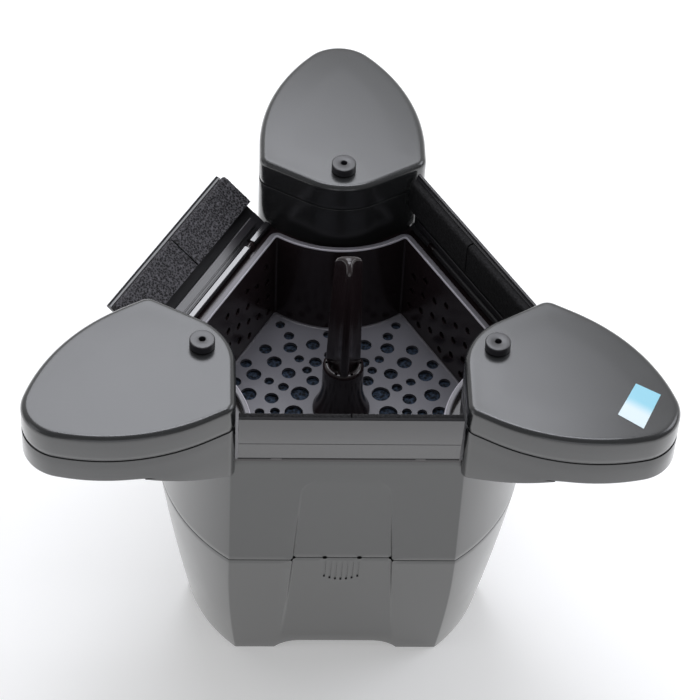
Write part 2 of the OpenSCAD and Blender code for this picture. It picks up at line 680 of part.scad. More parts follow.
module nozzle_seal() color(rubber_black) translate([0, 0, floor_top]) difference() {
    cylinder(r = outlet_r + 8, h = 1.5, $fn = 64);
    translate([0, 0, -1]) cylinder(r = outlet_r + 4, h = 4, $fn = 64);
}

module cable_gland() color(rubber_black) at(BACK) translate([gland_seat, 0, gland_z]) rotate([0, 90, 0]) difference() {
    union() {
        translate([0, 0, -gland_boss - gland_thread]) cylinder(r = gland_r + 4.3, h = gland_boss + gland_thread + 1, $fn = 48);
        cylinder(r = 10.5, h = 6, $fn = 6);
        translate([0, 0, 6]) cylinder(r1 = 8.8, r2 = 6.5, h = 7, $fn = 48);
    }
    translate([0, 0, -gland_boss - gland_thread - 1]) cylinder(r = gland_r, h = 60, $fn = 48);
}

module gland_nut() color(rubber_black) at(BACK) translate([gland_seat - gland_boss - 5, 0, gland_z]) rotate([0, 90, 0]) difference() {
    cylinder(r = 12, h = 5, $fn = 6);
    translate([0, 0, -1]) cylinder(r = gland_r + 4.35, h = 8, $fn = 48);
}

// ---------------------------------------------------------------- floats

// Half outline of a float, drawn in by d, from its tip round to its inner side
function shoulder_r(d) = max(shoulder_rad - d, 0.5);
function shoulder_x(d) = (flap_side + d + shoulder_r(d) + cos(60) * (float_half_w - d - shoulder_r(d))) / sin(60);
function float_half(d) = concat(
    arc_points([float_reach - tip_rad, 0], tip_rad - d, 0, tip_turn, 7),
    tail(arc_points([float_wide_r, float_half_w - side_rad], side_rad - d, tip_turn, 90, 9)),
    arc_points([shoulder_x(d), float_half_w - d - shoulder_r(d)], shoulder_r(d), 90, 150, 5),
    arc_points([inner_c, 0], inner_rad - d, 150, 180, 6));
function float_outline(d) = let (h = float_half(d))
    concat(h, [for (i = [len(h) - 2:-1:1]) [h[i].x, -h[i].y]]);

neck_r = housing_r - 6;
screw_boss_h = 13;   // height of the bosses in a float, above its underside
skirt_r = housing_r - 6.5;
skirt_z = deck_z - skirt_drop;           // underside of the foot at skirt_r
skirt_end = skirt_r + (float_z - skirt_z) / tan(skirt_slope);
under_blend = 16;    // length over which the round underside dies out towards the foot
// Outline of the underside: drawn in by d beyond the foot, and flush with the wall above it
function under_outline(d) = let (a = float_outline(0), b = float_outline(d)) [for (i = [0:len(a) - 1])
    let (w = min(1, max(0, (a[i].x - skirt_end) / under_blend + 0.5))) a[i] + (b[i] - a[i]) * w];
float_screw_r = 2.4;
float_screw_in = 11.5; // from the neck's outside to its screws, whose bosses join its wall
module float_screw_places() for (d = FLOATS, s = [-1, 1]) at(d)
    translate([neck_r - float_screw_in, s * 36, 0]) children();

lip_t = 1.6;
lip_h = 4;
under_round = 3;
module float_shell(direction) color(slate) difference() {
    union() {
        at(direction) {
            difference() {
                loft([ring(under_outline(under_round), float_z),
                    ring(under_outline(under_round * 0.3), float_z + under_round * 0.3),
                    ring(float_outline(0), float_z + under_round),
                    ring(float_outline(0), float_split)]);
                loft([ring(float_outline(float_wall + 4), float_z + float_wall),
                    ring(float_outline(float_wall), float_z + float_wall + 4),
                    ring(float_outline(float_wall), float_split + 1)]);
            }
            // tongue that seats inside the cover
            translate([0, 0, float_split - 4]) linear_extrude(4 + lip_h) difference() {
                polygon(float_outline(float_wall + fit_gap));
                polygon(float_outline(float_wall + fit_gap + lip_t));
            }
            translate([0, 0, float_split - 4]) linear_extrude(2) difference() {
                polygon(float_outline(float_wall - 0.5));
                polygon(float_outline(float_wall + fit_gap + lip_t));
            }
        }
        // closed bosses that take the screws
        intersection() {
            float_screw_places() translate([0, 0, float_z + 1]) cylinder(r = 5.5, h = screw_boss_h - 1, $fn = 32);
            at(direction) translate([0, -float_half_w, 0]) cube([big, 2 * float_half_w, big]);
        }
    }
    float_screw_places() translate([0, 0, float_z - 1]) cylinder(r = float_screw_r + 0.05, h = screw_boss_h - 1, $fn = 24);
}

// Outline of a float, drawn in by d, above the sloping underside of its foot raised by up
module foot_block(d, up, top) intersection() {
    translate([0, 0, skirt_z - 50]) linear_extrude(top - skirt_z + 50) polygon(float_outline(d));
    translate([skirt_r, -big / 2, skirt_z + up]) rotate([0, -skirt_slope, 0]) translate([-big / 2, 0, 0]) cube([big, big, big]);
}

// Foot of a float: a ring on the weir frame, and a skirt that reaches down round the
// housing's corner and slopes up to the float's underside. Its walls are flush with the float.
module float_neck(direction) color(slate) difference() {
    union() {
        at(direction) {
            translate([0, 0, deck_z]) linear_extrude(neck_h) intersection() {
                difference() {
                    polygon(float_outline(0));
                    intersection() {
                        polygon(float_outline(wall));
                        circle(r = neck_r - wall, $fn = 144);
                    }
                }
                circle(r = neck_r, $fn = 144);
            }
            difference() {
                foot_block(0, 0, float_z);
                foot_block(wall, wall * 1.08, float_z + 1);
                cylinder(r = neck_r - 1, h = float_z + 1, $fn = 144);
            }
        }
        intersection() {
            float_screw_places() translate([0, 0, deck_z]) cylinder(r = 5.5, h = neck_h, $fn = 32);
            at(direction) translate([0, -float_half_w, 0]) cube([big, 2 * float_half_w, big]);
        }
    }
    cylinder(r = housing_r + fit_gap, h = deck_z, $fn = 144);
    float_screw_places() translate([0, 0, deck_z - 1]) cylinder(r = float_screw_r + 0.05, h = neck_h + 2, $fn = 24);
}

module float_screws() color(steel) float_screw_places() translate([0, 0, frame_z])
    pan_screw(float_screw_r, frame_t + neck_h + screw_boss_h - 4, 4.6, 2.8);

edge_steps = 4;
function edge_ring(k, r, z) = let (a = 78 * k / edge_steps) ring(float_outline(r * (1 - cos(a)) + (edge_rad - r)), z + r * sin(a));
module float_cover(direction) color(slate) at(direction) difference() {
    union() {
        loft(concat(
            [ring(float_outline(0), float_split)],
            [for (k = [0:edge_steps]) edge_ring(k, edge_rad, edge_z)],
            [ring(float_outline(22), edge_z + edge_rad + crown_h * 0.6),
             ring(float_outline(34), edge_z + edge_rad + crown_h)]));
        translate([plug_r, 0, plug_seat_z - 5]) cylinder(r = plug_d / 2 + 2, h = 5, $fn = 64);
    }
    loft([ring(float_outline(float_wall), float_split - 1),
        ring(float_outline(float_wall), edge_z),
        ring(float_outline(float_wall + 5), edge_z + edge_rad - float_wall - 1.5),
        ring(float_outline(30), edge_z + edge_rad - float_wall + 0.4)]);
    translate([plug_r, 0, edge_z - 5]) cylinder(r = plug_shank_r + 0.2, h = 30, $fn = 48);
}

seal_h = 1.4;
module float_plug(direction) color(ink) at(direction) translate([plug_r, 0, plug_seat_z]) difference() {
    union() {
        rotate_extrude($fn = 64) polygon(concat([[0, seal_h], [plug_d / 2, seal_h]],
            arc_points([plug_d / 2 - 1.5, plug_h - 1.5], 1.5, 0, 90, 4), [[0, plug_h]]));
        translate([0, 0, -10]) cylinder(r = plug_shank_r, h = 12, $fn = 48);
    }
    translate([0, 0, 2]) cylinder(r = 2.8, h = plug_h, $fn = 32);
}

module plug_seal(direction) color(rubber_black) at(direction) translate([plug_r, 0, plug_seat_z]) difference() {
    cylinder(r = plug_d / 2 - 2, h = seal_h, $fn = 48);
    translate([0, 0, -1]) cylinder(r = plug_shank_r, h = seal_h + 2, $fn = 48);
}

// ---------------------------------------------------------------- weir flaps

module at_flap(direction, tilt) at(direction) translate([hinge_a, 0, hinge_z]) rotate([0, tilt, 0]) children();

plate_x = barrel_r - flap_t;             // inner face of the plate, outward of the hinge axis
pad_margin = 4.5;                        // bare plate between the pads and a flap's top edge
pad_side = 0.5;                          // and between the pads and its ends
bar_x = -3;
module along_hinge(r, t0, t1) translate([0, t1, 0]) rotate([90, 0, 0]) cylinder(r = r, h = t1 - t0, $fn = 48);

module weir_flap(direction, tilt) color(slate) at_flap(direction, tilt) difference() {
    union() {
        translate([plate_x, -flap_half, 2]) cube([flap_t, 2 * flap_half, flap_h - 2]);
        along_hinge(barrel_r, -flap_half, flap_half);
        // bead along the top edge
        translate([plate_x - 1.2, -flap_half, flap_h - 1.8]) cube([2, 2 * flap_half, 1.8]);
        // stiffening bar and two thin ribs between the hinge and the pads
        translate([bar_x, -flap_half + 5, 13]) cube([plate_x - bar_x + 0.5, 2 * flap_half - 10, 9]);
        for (z = [8.4, 10.4]) translate([plate_x - 1.4, -flap_half + 5, z]) cube([2, 2 * flap_half - 10, 0.9]);
    }
    along_hinge(rod_r + run_gap, -flap_half - 1, flap_half + 1);
    for (s = [-1, 1]) translate([-8, s * clip_t - clip_w / 2 - 0.6, -6]) cube([14, clip_w + 1.2, 12]);
    // shallow crease across the outer face
    translate([barrel_r - 0.5, -big / 2, pad_start - 1.6]) cube([2, big, 0.9]);
}

module flap_pads(direction, tilt) color(foam_grey) at_flap(direction, tilt) for (s = [0, 1]) mirror([0, s, 0])
    translate([plate_x - pad_t, 0.6, pad_start]) cube([pad_t, flap_half - pad_side - 0.6, flap_h - pad_margin - pad_start]);

module hinge_rod(direction) color(steel) at_flap(direction, 0) along_hinge(rod_r, -flap_half, flap_half);

clip_r = barrel_r + 0.6;
module hinge_clips(direction) color(ink) at_flap(direction, 0) for (s = [-1, 1]) translate([0, s * clip_t, 0]) difference() {
    union() {
        along_hinge(clip_r, -clip_w / 2, clip_w / 2);
        translate([-clip_r, -clip_w / 2, deck_z - hinge_z]) cube([clip_r + 0.5, clip_w, hinge_z - deck_z]);
    }
    along_hinge(rod_r + 0.02, -clip_w, clip_w);
    translate([-clip_r - 1, -clip_w, -20 + deck_z - hinge_z]) cube([3 * clip_r, 2 * clip_w, 20]);
}

// ---------------------------------------------------------------- drawing

lower_housing();
housing_floor();
upper_housing();
housing_gasket();
housing_screws();
weir_frame();
foam_grate();
filter_foam();
basket_frame();
basket_floor();
basket_screen(FRONT);  // basket_screen_front
basket_screen(RIGHT_FLAP);  // basket_screen_right
basket_screen(LEFT_FLAP);  // basket_screen_left
grip_socket();
grip();
grip_screw();
pump_motor();
pump_volute();
pump_strainer();
impeller();
impeller_shaft();
pump_cradle();
pump_feet();
outlet_nozzle();
nozzle_nut();
nozzle_seal();
cable_gland();
gland_nut();
float_shell(BACK);  // float_shell_back
float_shell(LEFT_FLOAT);  // float_shell_left
float_shell(RIGHT_FLOAT);  // float_shell_right
float_neck(BACK);  // float_neck_back
float_neck(LEFT_FLOAT);  // float_neck_left
float_neck(RIGHT_FLOAT);  // float_neck_right
float_cover(BACK);  // float_cover_back
float_cover(LEFT_FLOAT);  // float_cover_left
float_cover(RIGHT_FLOAT);  // float_cover_right
float_plug(BACK);  // float_plug_back
float_plug(LEFT_FLOAT);  // float_plug_left
float_plug(RIGHT_FLOAT);  // float_plug_right
plug_seal(BACK);  // plug_seal_back
plug_seal(LEFT_FLOAT);  // plug_seal_left
plug_seal(RIGHT_FLOAT);  // plug_seal_right
float_screws();
weir_flap(FRONT, front_tilt);  // flap_front
weir_flap(RIGHT_FLAP, right_tilt);  // flap_right
weir_flap(LEFT_FLAP, left_tilt);  // flap_left
flap_pads(FRONT, front_tilt);  // flap_pads_front
flap_pads(RIGHT_FLAP, right_tilt);  // flap_pads_right
flap_pads(LEFT_FLAP, left_tilt);  // flap_pads_left
hinge_rod(FRONT);  // hinge_rod_front
hinge_rod(RIGHT_FLAP);  // hinge_rod_right
hinge_rod(LEFT_FLAP);  // hinge_rod_left
hinge_clips(FRONT);  // hinge_clips_front
hinge_clips(RIGHT_FLAP);  // hinge_clips_right
hinge_clips(LEFT_FLAP);  // hinge_clips_left
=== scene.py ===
"""Floating pond skimmer: three floats, hinged weir flaps, a leaf basket and its foam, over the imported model.

Numbers are millimetres unless a comment says otherwise, and are drawn in metres in the model's own frame:
+Z up the main axis, the front weir flap towards -Y.
"""

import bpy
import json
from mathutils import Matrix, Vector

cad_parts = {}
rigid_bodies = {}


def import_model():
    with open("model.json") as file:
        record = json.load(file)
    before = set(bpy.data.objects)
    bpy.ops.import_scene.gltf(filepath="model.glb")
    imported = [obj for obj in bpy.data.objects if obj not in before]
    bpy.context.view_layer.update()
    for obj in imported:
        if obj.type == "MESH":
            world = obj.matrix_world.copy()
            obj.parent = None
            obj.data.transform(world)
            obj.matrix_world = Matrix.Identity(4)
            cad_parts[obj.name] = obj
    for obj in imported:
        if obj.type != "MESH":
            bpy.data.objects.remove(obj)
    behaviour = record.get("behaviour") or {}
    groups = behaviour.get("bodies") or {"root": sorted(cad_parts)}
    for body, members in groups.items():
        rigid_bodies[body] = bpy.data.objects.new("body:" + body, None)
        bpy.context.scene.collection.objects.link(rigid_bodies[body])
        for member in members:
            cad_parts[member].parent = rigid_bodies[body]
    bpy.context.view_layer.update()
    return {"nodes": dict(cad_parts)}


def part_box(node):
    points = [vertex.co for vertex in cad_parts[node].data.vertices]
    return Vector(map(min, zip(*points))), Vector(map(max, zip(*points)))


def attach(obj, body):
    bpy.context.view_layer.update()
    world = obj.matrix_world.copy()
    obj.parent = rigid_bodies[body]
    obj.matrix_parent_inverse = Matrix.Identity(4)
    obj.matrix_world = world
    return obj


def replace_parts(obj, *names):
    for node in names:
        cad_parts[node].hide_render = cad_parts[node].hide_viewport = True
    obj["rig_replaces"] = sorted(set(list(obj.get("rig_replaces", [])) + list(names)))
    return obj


bl_info = {
    "name": "Pond skimmer pieces",
    "version": (1, 0, 0),
    "blender": (4, 5, 0),
    "location": "View3D > Sidebar > Skimmer",
    "description": "Draws the visible pieces of a floating pond skimmer over its CAD frame",
    "category": "Add Mesh",
}

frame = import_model()

import json
import math
from types import SimpleNamespace

import bmesh
import bpy
from mathutils import Matrix, Vector

MM = 0.001

# Directions round the main axis, in degrees
FLOATS = {"back": 90, "left": 210, "right": 330}
FLAPS = {"front": 270, "right": 30, "left": 150}


# ---------------------------------------------------------------- sizes and colours

def length(name, description, default):
    """A length that the sidebar shows in the scene's own unit; default is in millimetres."""
    return bpy.props.FloatProperty(name=name, description=description, default=default * MM,
                                   subtype="DISTANCE", unit="LENGTH", precision=4)


def angle(name, description, degrees):
    return bpy.props.FloatProperty(name=name, description=description, default=math.radians(degrees),
                                   subtype="ANGLE", unit="ROTATION")


def hex_linear(text):
    """The linear red, green and blue of an sRGB hex colour."""
    out = []
    for k in (1, 3, 5):
        c = int(text[k:k + 2], 16) / 255
        out.append(c / 12.92 if c <= 0.04045 else ((c + 0.055) / 1.055) ** 2.4)
    return tuple(out)


def colour(name, description, text):
    return bpy.props.FloatVectorProperty(name=name, description=description, default=hex_linear(text),
                                         subtype="COLOR", size=3, min=0, max=1)


# Heights in millimetres: the seam between the housings, the upper housing's edge, the deck (top of the weir
# frame), the floats' underside, and the basket's rim, underside and floor
SEAM_Z = 163.0
UPPER_Z = 163.6
DECK_Z = round(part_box("weir_frame")[1].z / MM, 3)
FLOAT_Z = round(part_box("float_shell_back")[0].z / MM, 3)
RIM_Z = DECK_Z + 8.5
BASKET_Z = round(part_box("basket_floor")[0].z / MM, 3)
FLOOR_TOP = round(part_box("basket_floor")[1].z / MM, 3)

# Floats, in millimetres
SEAM_LAP = 4                                 # how far the cover and the shell reach in at their seam
CROWN_INSETS = (7.5, 10, 13, 17, 22, 28, 35)    # of the rings that draw the domed top
SEAT_R = 9.1                                 # radius of the filler plug's seat
PLUG_EDGE = 1.1                              # radius of the filler plug's round edge
FOOT_IN, FOOT_PLAY = 6.5, 0.25               # how far a foot reaches over the housing, and its gap round it
FOOT_BLEND, FOOT_EDGE = 16, 1.6              # fade length of the underside's edge, and the foot's bevel
# Corners of the label from above: the first two are its outer side, then the way round
LABEL_CORNERS = ((241.5, -113.4), (261.5, -125.7), (243.4, -164.1), (223.0, -148.7))
LABEL_START_Z = 395                          # height from which the label is laid down on the cover
LABEL_GAP, LABEL_T = 0.12, 0.2               # its glue line and its thickness

# Housings, in millimetres
PANEL_STEPS = (0.0, 0.12, 0.25, 0.38, 0.5, 0.6, 0.7, 0.8, 0.88, 0.95)    # places across half a panel,
EDGE_STEPS = (0.0, 0.14, 0.28, 0.42, 0.58, 0.72, 0.86, 1.0)              # across its S-shaped edge
FLANK_STEPS = (0.2, 0.45, 0.75, 1.0)                                     # and from there to the round corner
CORNER_BULGE = 1.5                           # of the lower housing's corners, half-way up
FLARE_CURVE = 0.28                           # share of the panel's flare that comes in a curve near the feet
PANEL_FOOT_Z, PANEL_EASE = 22, 0.7           # height where the lower panel starts to deepen, and how softly
PANEL_EDGE, PANEL_EDGE_GROWTH = 1.7, 3.5     # width of its edge at the seam, and its growth to the feet
ARCH_LEVEL_HALF = 33.0                       # half length of the arch's level middle
FOOT_ROUND = 0.9                             # radius of the lower housing's round lower edge
NICHE_H = 107                                # height of the upper housing's niche
NICHE_BEND = 0.86                            # where, on the way up, the niche's sides start to close
NICHE_DRAW, NICHE_ROUND = 5, 12              # how much it narrows on the way up and at its round top
NICHE_EASE, NICHE_EDGE = 0.85, 1.6           # how softly it runs out, its edge's width (twice at the top)
VENT_DROP, VENT_DEPTH = 3.0, 1.1             # the vent slots' distance below the seam and their depth
VENT_HALF, VENT_STEP = 0.9, 5                # their half width and the distance between two
VENT_TOP = 6                                 # further drop of the middle slot's top
VENT_RISE, VENT_FOOT_RISE = 0.3, 0.6         # rise of the tops and feet, times the square of a slot's number
DRAIN_R, DRAIN_RISE = 2.3, 0.3               # the drain holes' radius and how far above the seam they sit
DRAIN_AT = 15.5                              # the inner drain holes' distance from the side's middle

# Weir flaps, in millimetres from the hinge axis
HINGE_AT, HINGE_RISE = 132.5, 4.5            # its distance from the main axis and height above the deck
BARREL_R, ROD_R, PLATE_T = 3.5, 1.6, 2.5     # radii of the barrel and the rod, the plate's thickness
INNER = BARREL_R - PLATE_T                   # the plate's inner side
CLIP_R, CLIP_W, CLIP_FOOT = 2.6, 8.0, -4.48    # a clip's eye radius, its width and the height of its foot
CLIP_PLAY = 0.6                              # room beside a clip
LAND_AT, LAND_HALF = 147, 38                 # direction and half angle of the barrel's flat land, in degrees
BAR_TOP, BAR_X = 16.6, -3                    # the stiffening bar's upper edge and face
BAR_SHORT = 11                               # how much shorter than the flap it is at each end
RIBS, RIB_X = ((7.4, 6.2), (5.2, 4.1)), -0.6    # the ribs' upper and lower edges, and their faces
PAD_SEAM, PAD_BEVEL, PAD_PORE = 0.6, 3.6, 1.9    # half gap between the pads, their bevel, size of their pores

# Basket, in millimetres
BASKET_PLAY = 1.0                            # gap between the basket and its well
BASKET_CORNER = 4.5                          # radius of its corners
SCALLOP_SHRINK = 8                           # how much the scallops' radius shrinks down to the floor
LIP = 4.0                                    # how far the rim reaches out
RIM_EDGE, RIM_INNER_EDGE, FILLET = 1.4, 1.6, 1.5    # radii of the rim's two edges and of the floor's fillet
SCREEN_LENGTH = 146                          # length of a perforated side
SCREEN_MARGIN = 5                            # clear height above and below its holes
COLLAR_H, COLLAR_R, COLLAR_LIP = 61.0, 18.5, 4    # the socket's height, its collar's radius and round lip
# The collar's small holes: radius, distance from its middle, and degrees beside a fin
COLLAR_HOLE_R, COLLAR_HOLE_AT, COLLAR_HOLE_TURN = 1.4, 15.1, 27
FLARE_R, FLARE_H, FLARE_FOOT = 26.0, 34.0, 2.5    # radius, height and lower edge of the socket's flared foot
GRIP_H, GRIP_DOME = 102, 15.5                # the grip's height above the rim and the radius of its domed top
GRIP_LOW, GRIP_HIGH = (17.2, 4.6, 9.6), (13.4, 2.7, 4.9)    # reach, tip radius and flute of its fins
FILTER_PLAY, FILTER_CELL, FILTER_PORE = 2, 2.2, 4.0    # gap round the filter foam, its cells and its pores
# Water holes in one half of the basket's floor: x, y and diameter
FLOOR_HOLES = (
    (54, 104, 9), (46, 90, 10), (24, 79, 13), (45, 75, 13), (68, 73, 12), (37, 61, 9), (60, 57, 14),
    (86, 55, 11), (22, 57, 12), (30, 47, 9), (47, 43, 13), (79, 41, 14), (65, 33, 9), (96, 32, 11),
    (25, 34, 12), (52, 26, 10), (37, 18, 17), (84, 17, 15), (63, 12, 13), (90, -4, 14), (74, -5, 9),
    (60, -4, 9), (43, -5, 17), (36, -24, 12), (54, -24, 14), (74, -26, 12), (24, -40, 12), (42, -43, 14),
    (62, -44, 10), (78, -44, 9), (30, -60, 9), (50, -62, 16), (70, -64, 9), (16, -68, 14), (34, -80, 13),
    (54, -84, 12), (66, -98, 9), (16, -94, 9), (34, -101, 10), (51, -101, 9), (10, 92, 9), (9, 66, 10))

# Materials
DRIFT_SIZE = 55                              # size of the slow drifts of tone and gloss, in millimetres
WHITE = (1, 1, 1, 1)


class FloatSizes(bpy.types.PropertyGroup):
    reach: length("Reach", "From the main axis to a float's tip", 314.7)
    half_width: length("Half width", "Half of a float's greatest width", 75.7)
    wide_at: length("Widest at", "From the main axis to a float's widest place", 181.5)
    inner_at: length("Inner side at", "From the main axis to the middle of a float's inner side", 122)
    inner_radius: length("Inner radius", "Radius of a float's inner side", 61)
    tip_radius: length("Tip radius", "Radius of a float's rounded tip", 37.4)
    corner_radius: length("Corner radius", "Radius of the corners beside a float's inner side", 13)
    shell_height: length("Shell height", "Height of the lower shell, up to the seam", 26)
    cover_height: length("Cover height", "Height of the cover's upright wall", 22.5)
    edge_radius: length("Edge radius", "Radius of the round edge along the top", 5.5)
    under_radius: length("Under radius", "Radius of the round edge along the underside", 3)
    crown: length("Crown", "Rise of the slightly domed top above the round edge", 1.5)
    seam_ledge: length("Seam ledge", "How far the shell stands proud of the cover at the seam", 0.8)
    skirt_drop: length("Skirt drop", "How far a float's foot reaches down below the deck", 9)
    skirt_slope: angle("Skirt slope", "Slope of the foot's underside", 21.8)
    plug_in: length("Plug place", "From the middle of a float's inner side to the filler plug", 23.7)
    plug_diameter: length("Plug diameter", "Diameter of the filler plug's head", 22)
    plug_height: length("Plug height", "Height of the filler plug's head above its seat", 7.5)


class HousingSizes(bpy.types.PropertyGroup):
    corner_radius: length("Corner radius", "Radius of the upper housing's round corners", 166.5)
    flat_at: length("Flat side at", "From the main axis to a flat side of the upper housing", 132.5)
    base_radius: length("Base radius", "Radius of the lower housing's corners at the feet", 140.5)
    base_flat_at: length("Base flat side at", "From the main axis to a flat side at the feet", 105)
    upper_height: length("Upper height", "Height of the upper housing", 135)
    arris_radius: length("Arris radius", "Radius where a flat side turns into a round corner", 2.2)
    panel_half: length("Panel half width", "Half width of the recessed panel at the seam", 45)
    panel_depth: length("Panel depth", "Depth of the recessed panel at the seam", 3.2)
    arch_half: length("Arch half width", "Half width of the arch between two feet, at the floor", 57)
    arch_height: length("Arch height", "Height of that arch", 12.8)
    vent_height: length("Vent height", "Height of the middle vent slots", 36)


class FlapSizes(bpy.types.PropertyGroup):
    height: length("Height", "From the hinge axis to a flap's top edge", 64.5)
    half_length: length("Half length", "Half of a flap's length along its hinge", 95)
    pad_start: length("Pad start", "From the hinge axis to the foam pads", 26)
    pad_depth: length("Pad depth", "Thickness of the foam pads", 8.5)
    front_tilt: angle("Front tilt", "Outward tilt of the front flap from upright", 10.5)
    right_tilt: angle("Right tilt", "Outward tilt of the right flap from upright", 0)
    left_tilt: angle("Left tilt", "Outward tilt of the left flap from upright", 57)


class BasketSizes(bpy.types.PropertyGroup):
    well_at: length("Well side at", "From the main axis to a flat side of the well", 119.5)
    scallop_at: length("Scallop at", "From the main axis to the middle of a scallop", 114)
    scallop_radius: length("Scallop radius", "Radius of the scallops", 97.6)
    flat_lean: length("Flat lean", "Inward lean of the flat sides over their height", 5.5)
    scallop_lean: length("Scallop lean", "Inward lean of the scallops over their height", 12)
    wall: length("Wall", "Thickness of the basket's walls", 2.5)
    hole_diameter: length("Side hole", "Diameter of the holes in the flat sides", 7)
    hole_column: length("Hole column", "Distance between two columns of side holes", 17.8)
    hole_row: length("Hole row", "Distance between two rows of side holes", 9.4)


class SkimmerColours(bpy.types.PropertyGroup):
    float_abs: colour("Float ABS", "Moulded ABS of the floats", "#272829")
    housing_abs: colour("Housing ABS", "Moulded ABS of the two housings", "#2a2b2b")
    flap_abs: colour("Flap ABS", "Moulded ABS of the weir flaps", "#2b2a2d")
    basket_pp: colour("Basket polypropylene", "Gloss polypropylene of the basket and grip", "#251d1f")
    floor_pp: colour("Floor polypropylene", "Satin polypropylene of the basket's floor", "#6e6d73")
    rim_pp: colour("Rim polypropylene", "Satin polypropylene of the basket's rim", "#6d6b70")
    plug_pe: colour("Plug polyethylene", "Polyethylene of the filler plugs", "#232327")
    pad_foam: colour("Pad foam", "Open-cell foam of the flap pads", "#3c3b3e")
    filter_foam: colour("Filter foam", "Open-cell foam of the filter", "#1a222d")
    label: colour("Label", "Printed band of the blank label", "#93cfe2")
    ground: colour("Ground", "Floor of the studio", "#e9e9e9")


def sizes(kind):
    """The scene's sizes of one kind, in metres."""
    return getattr(bpy.context.scene, "skimmer_" + kind)


def mm(value):
    """A size of the scene in millimetres."""
    return value / MM


def clamp(k):
    return min(1.0, max(0.0, k))


# ---------------------------------------------------------------- drawing helpers

def pick_nothing():
    if bpy.context.object and bpy.context.object.mode != "OBJECT":
        bpy.ops.object.mode_set(mode="OBJECT")
    bpy.ops.object.select_all(action="DESELECT")


def pick(*objs):
    """Selects only these objects; the last one is active."""
    pick_nothing()
    for o in objs:
        o.select_set(True)
    bpy.context.view_layer.objects.active = objs[-1]


def edit(obj):
    """Opens obj for editing with nothing selected, and returns its edit mesh."""
    pick(obj)
    bpy.ops.object.mode_set(mode="EDIT")
    bpy.ops.mesh.select_mode(type="VERT")
    bpy.ops.mesh.select_all(action="DESELECT")
    return bmesh.from_edit_mesh(obj.data)


def normals_out():
    bpy.ops.mesh.select_all(action="SELECT")
    bpy.ops.mesh.normals_make_consistent(inside=False)


def done(obj):
    """Ends the editing of obj."""
    bmesh.update_edit_mesh(obj.data)
    bpy.ops.object.mode_set(mode="OBJECT")


def call(obj, name):
    """Names obj and its mesh."""
    obj.name = obj.data.name = name
    return obj


def loft(name, rings, start=True, end=True):
    """A skin drawn ring by ring, in millimetres: a circle of as many points is put on the first ring, and its
    edge is extruded to each next one. start and end close the first and last ring."""
    n = len(rings[0])
    pick_nothing()
    bpy.ops.mesh.primitive_circle_add(vertices=n, radius=1.0, fill_type="NGON" if start else "NOTHING")
    obj = call(bpy.context.object, name)
    bpy.ops.object.mode_set(mode="EDIT")
    bpy.ops.mesh.select_mode(type="VERT")
    bm = bmesh.from_edit_mesh(obj.data)
    bm.verts.ensure_lookup_table()
    now = [Vector(p) * MM for p in rings[0]]
    for v, p in zip(list(bm.verts), now):
        v.co = p
    for ring in rings[1:]:
        bpy.ops.mesh.extrude_edges_move()
        bm = bmesh.from_edit_mesh(obj.data)
        bm.verts.ensure_lookup_table()
        place = {tuple(round(c, 7) for c in p): k for k, p in enumerate(now)}
        fresh = [bm.verts[k] for k in range(len(bm.verts) - n, len(bm.verts))]
        after = [Vector(p) * MM for p in ring]
        for v in fresh:
            v.co = after[place[tuple(round(c, 7) for c in v.co)]]
        now = after
    if end:
        bpy.ops.mesh.edge_face_add()
    normals_out()
    bpy.ops.mesh.select_all(action="DESELECT")
    bpy.ops.object.mode_set(mode="OBJECT")
    return obj


def ring_tube(name, rings):
    """A closed skin through rings that go up the outside and come down the inside."""
    obj = loft(name, rings + [rings[0]], start=False, end=False)
    edit(obj)
    bpy.ops.mesh.select_all(action="SELECT")
    bpy.ops.mesh.remove_doubles(threshold=1e-7)
    normals_out()
    done(obj)
    return obj


def modify(obj, kind, **settings):
    """Puts one modifier on obj and applies it."""
    pick(obj)
    m = obj.modifiers.new(kind.title(), kind)
    for key, value in settings.items():
        setattr(m, key, value)
    bpy.ops.object.modifier_apply(modifier=m.name)
    return obj


def join(*objs):
    """Makes one object of several; it keeps the last one's name."""
    pick(*objs)
    bpy.ops.object.join()
    return bpy.context.object


def cut(obj, *cutters):
    """Takes the cutters, closed shapes, out of obj."""
    tool = join(*cutters) if len(cutters) > 1 else cutters[0]
    modify(obj, "BOOLEAN", operation="DIFFERENCE", solver="MANIFOLD", object=tool)
    pick(tool)
    bpy.ops.object.delete()
    return obj


def block(name, lo, hi):
    """A box between two corners in millimetres, a start for a cutter or a moulded piece."""
    pick_nothing()
    bpy.ops.mesh.primitive_cube_add(size=1.0)
    obj = call(bpy.context.object, name)
    for v in obj.data.vertices:
        v.co = Vector([(lo[k] if v.co[k] < 0 else hi[k]) * MM for k in range(3)])
    return obj


def peg(name, r, lo, hi, segments=32, at=(0, 0)):
    """An upright cylinder between two heights in millimetres."""
    pick_nothing()
    bpy.ops.mesh.primitive_cylinder_add(vertices=segments, radius=r * MM, depth=(hi - lo) * MM,
                                        location=(at[0] * MM, at[1] * MM, (lo + hi) / 2 * MM))
    obj = call(bpy.context.object, name)
    bpy.ops.object.transform_apply(location=True, rotation=True, scale=True)
    return obj


def move(obj, matrix):
    """Moves obj and leaves its place in its mesh."""
    obj.data.transform(matrix)
    obj.data.update()
    return obj


def shift(x, y, z):
    """The matrix of a move in millimetres."""
    return Matrix.Translation((x * MM, y * MM, z * MM))


def spin(degrees, axis):
    return Matrix.Rotation(math.radians(degrees), 4, axis)


def turn(obj, degrees):
    """Turns obj round the main axis."""
    return move(obj, spin(degrees, "Z"))


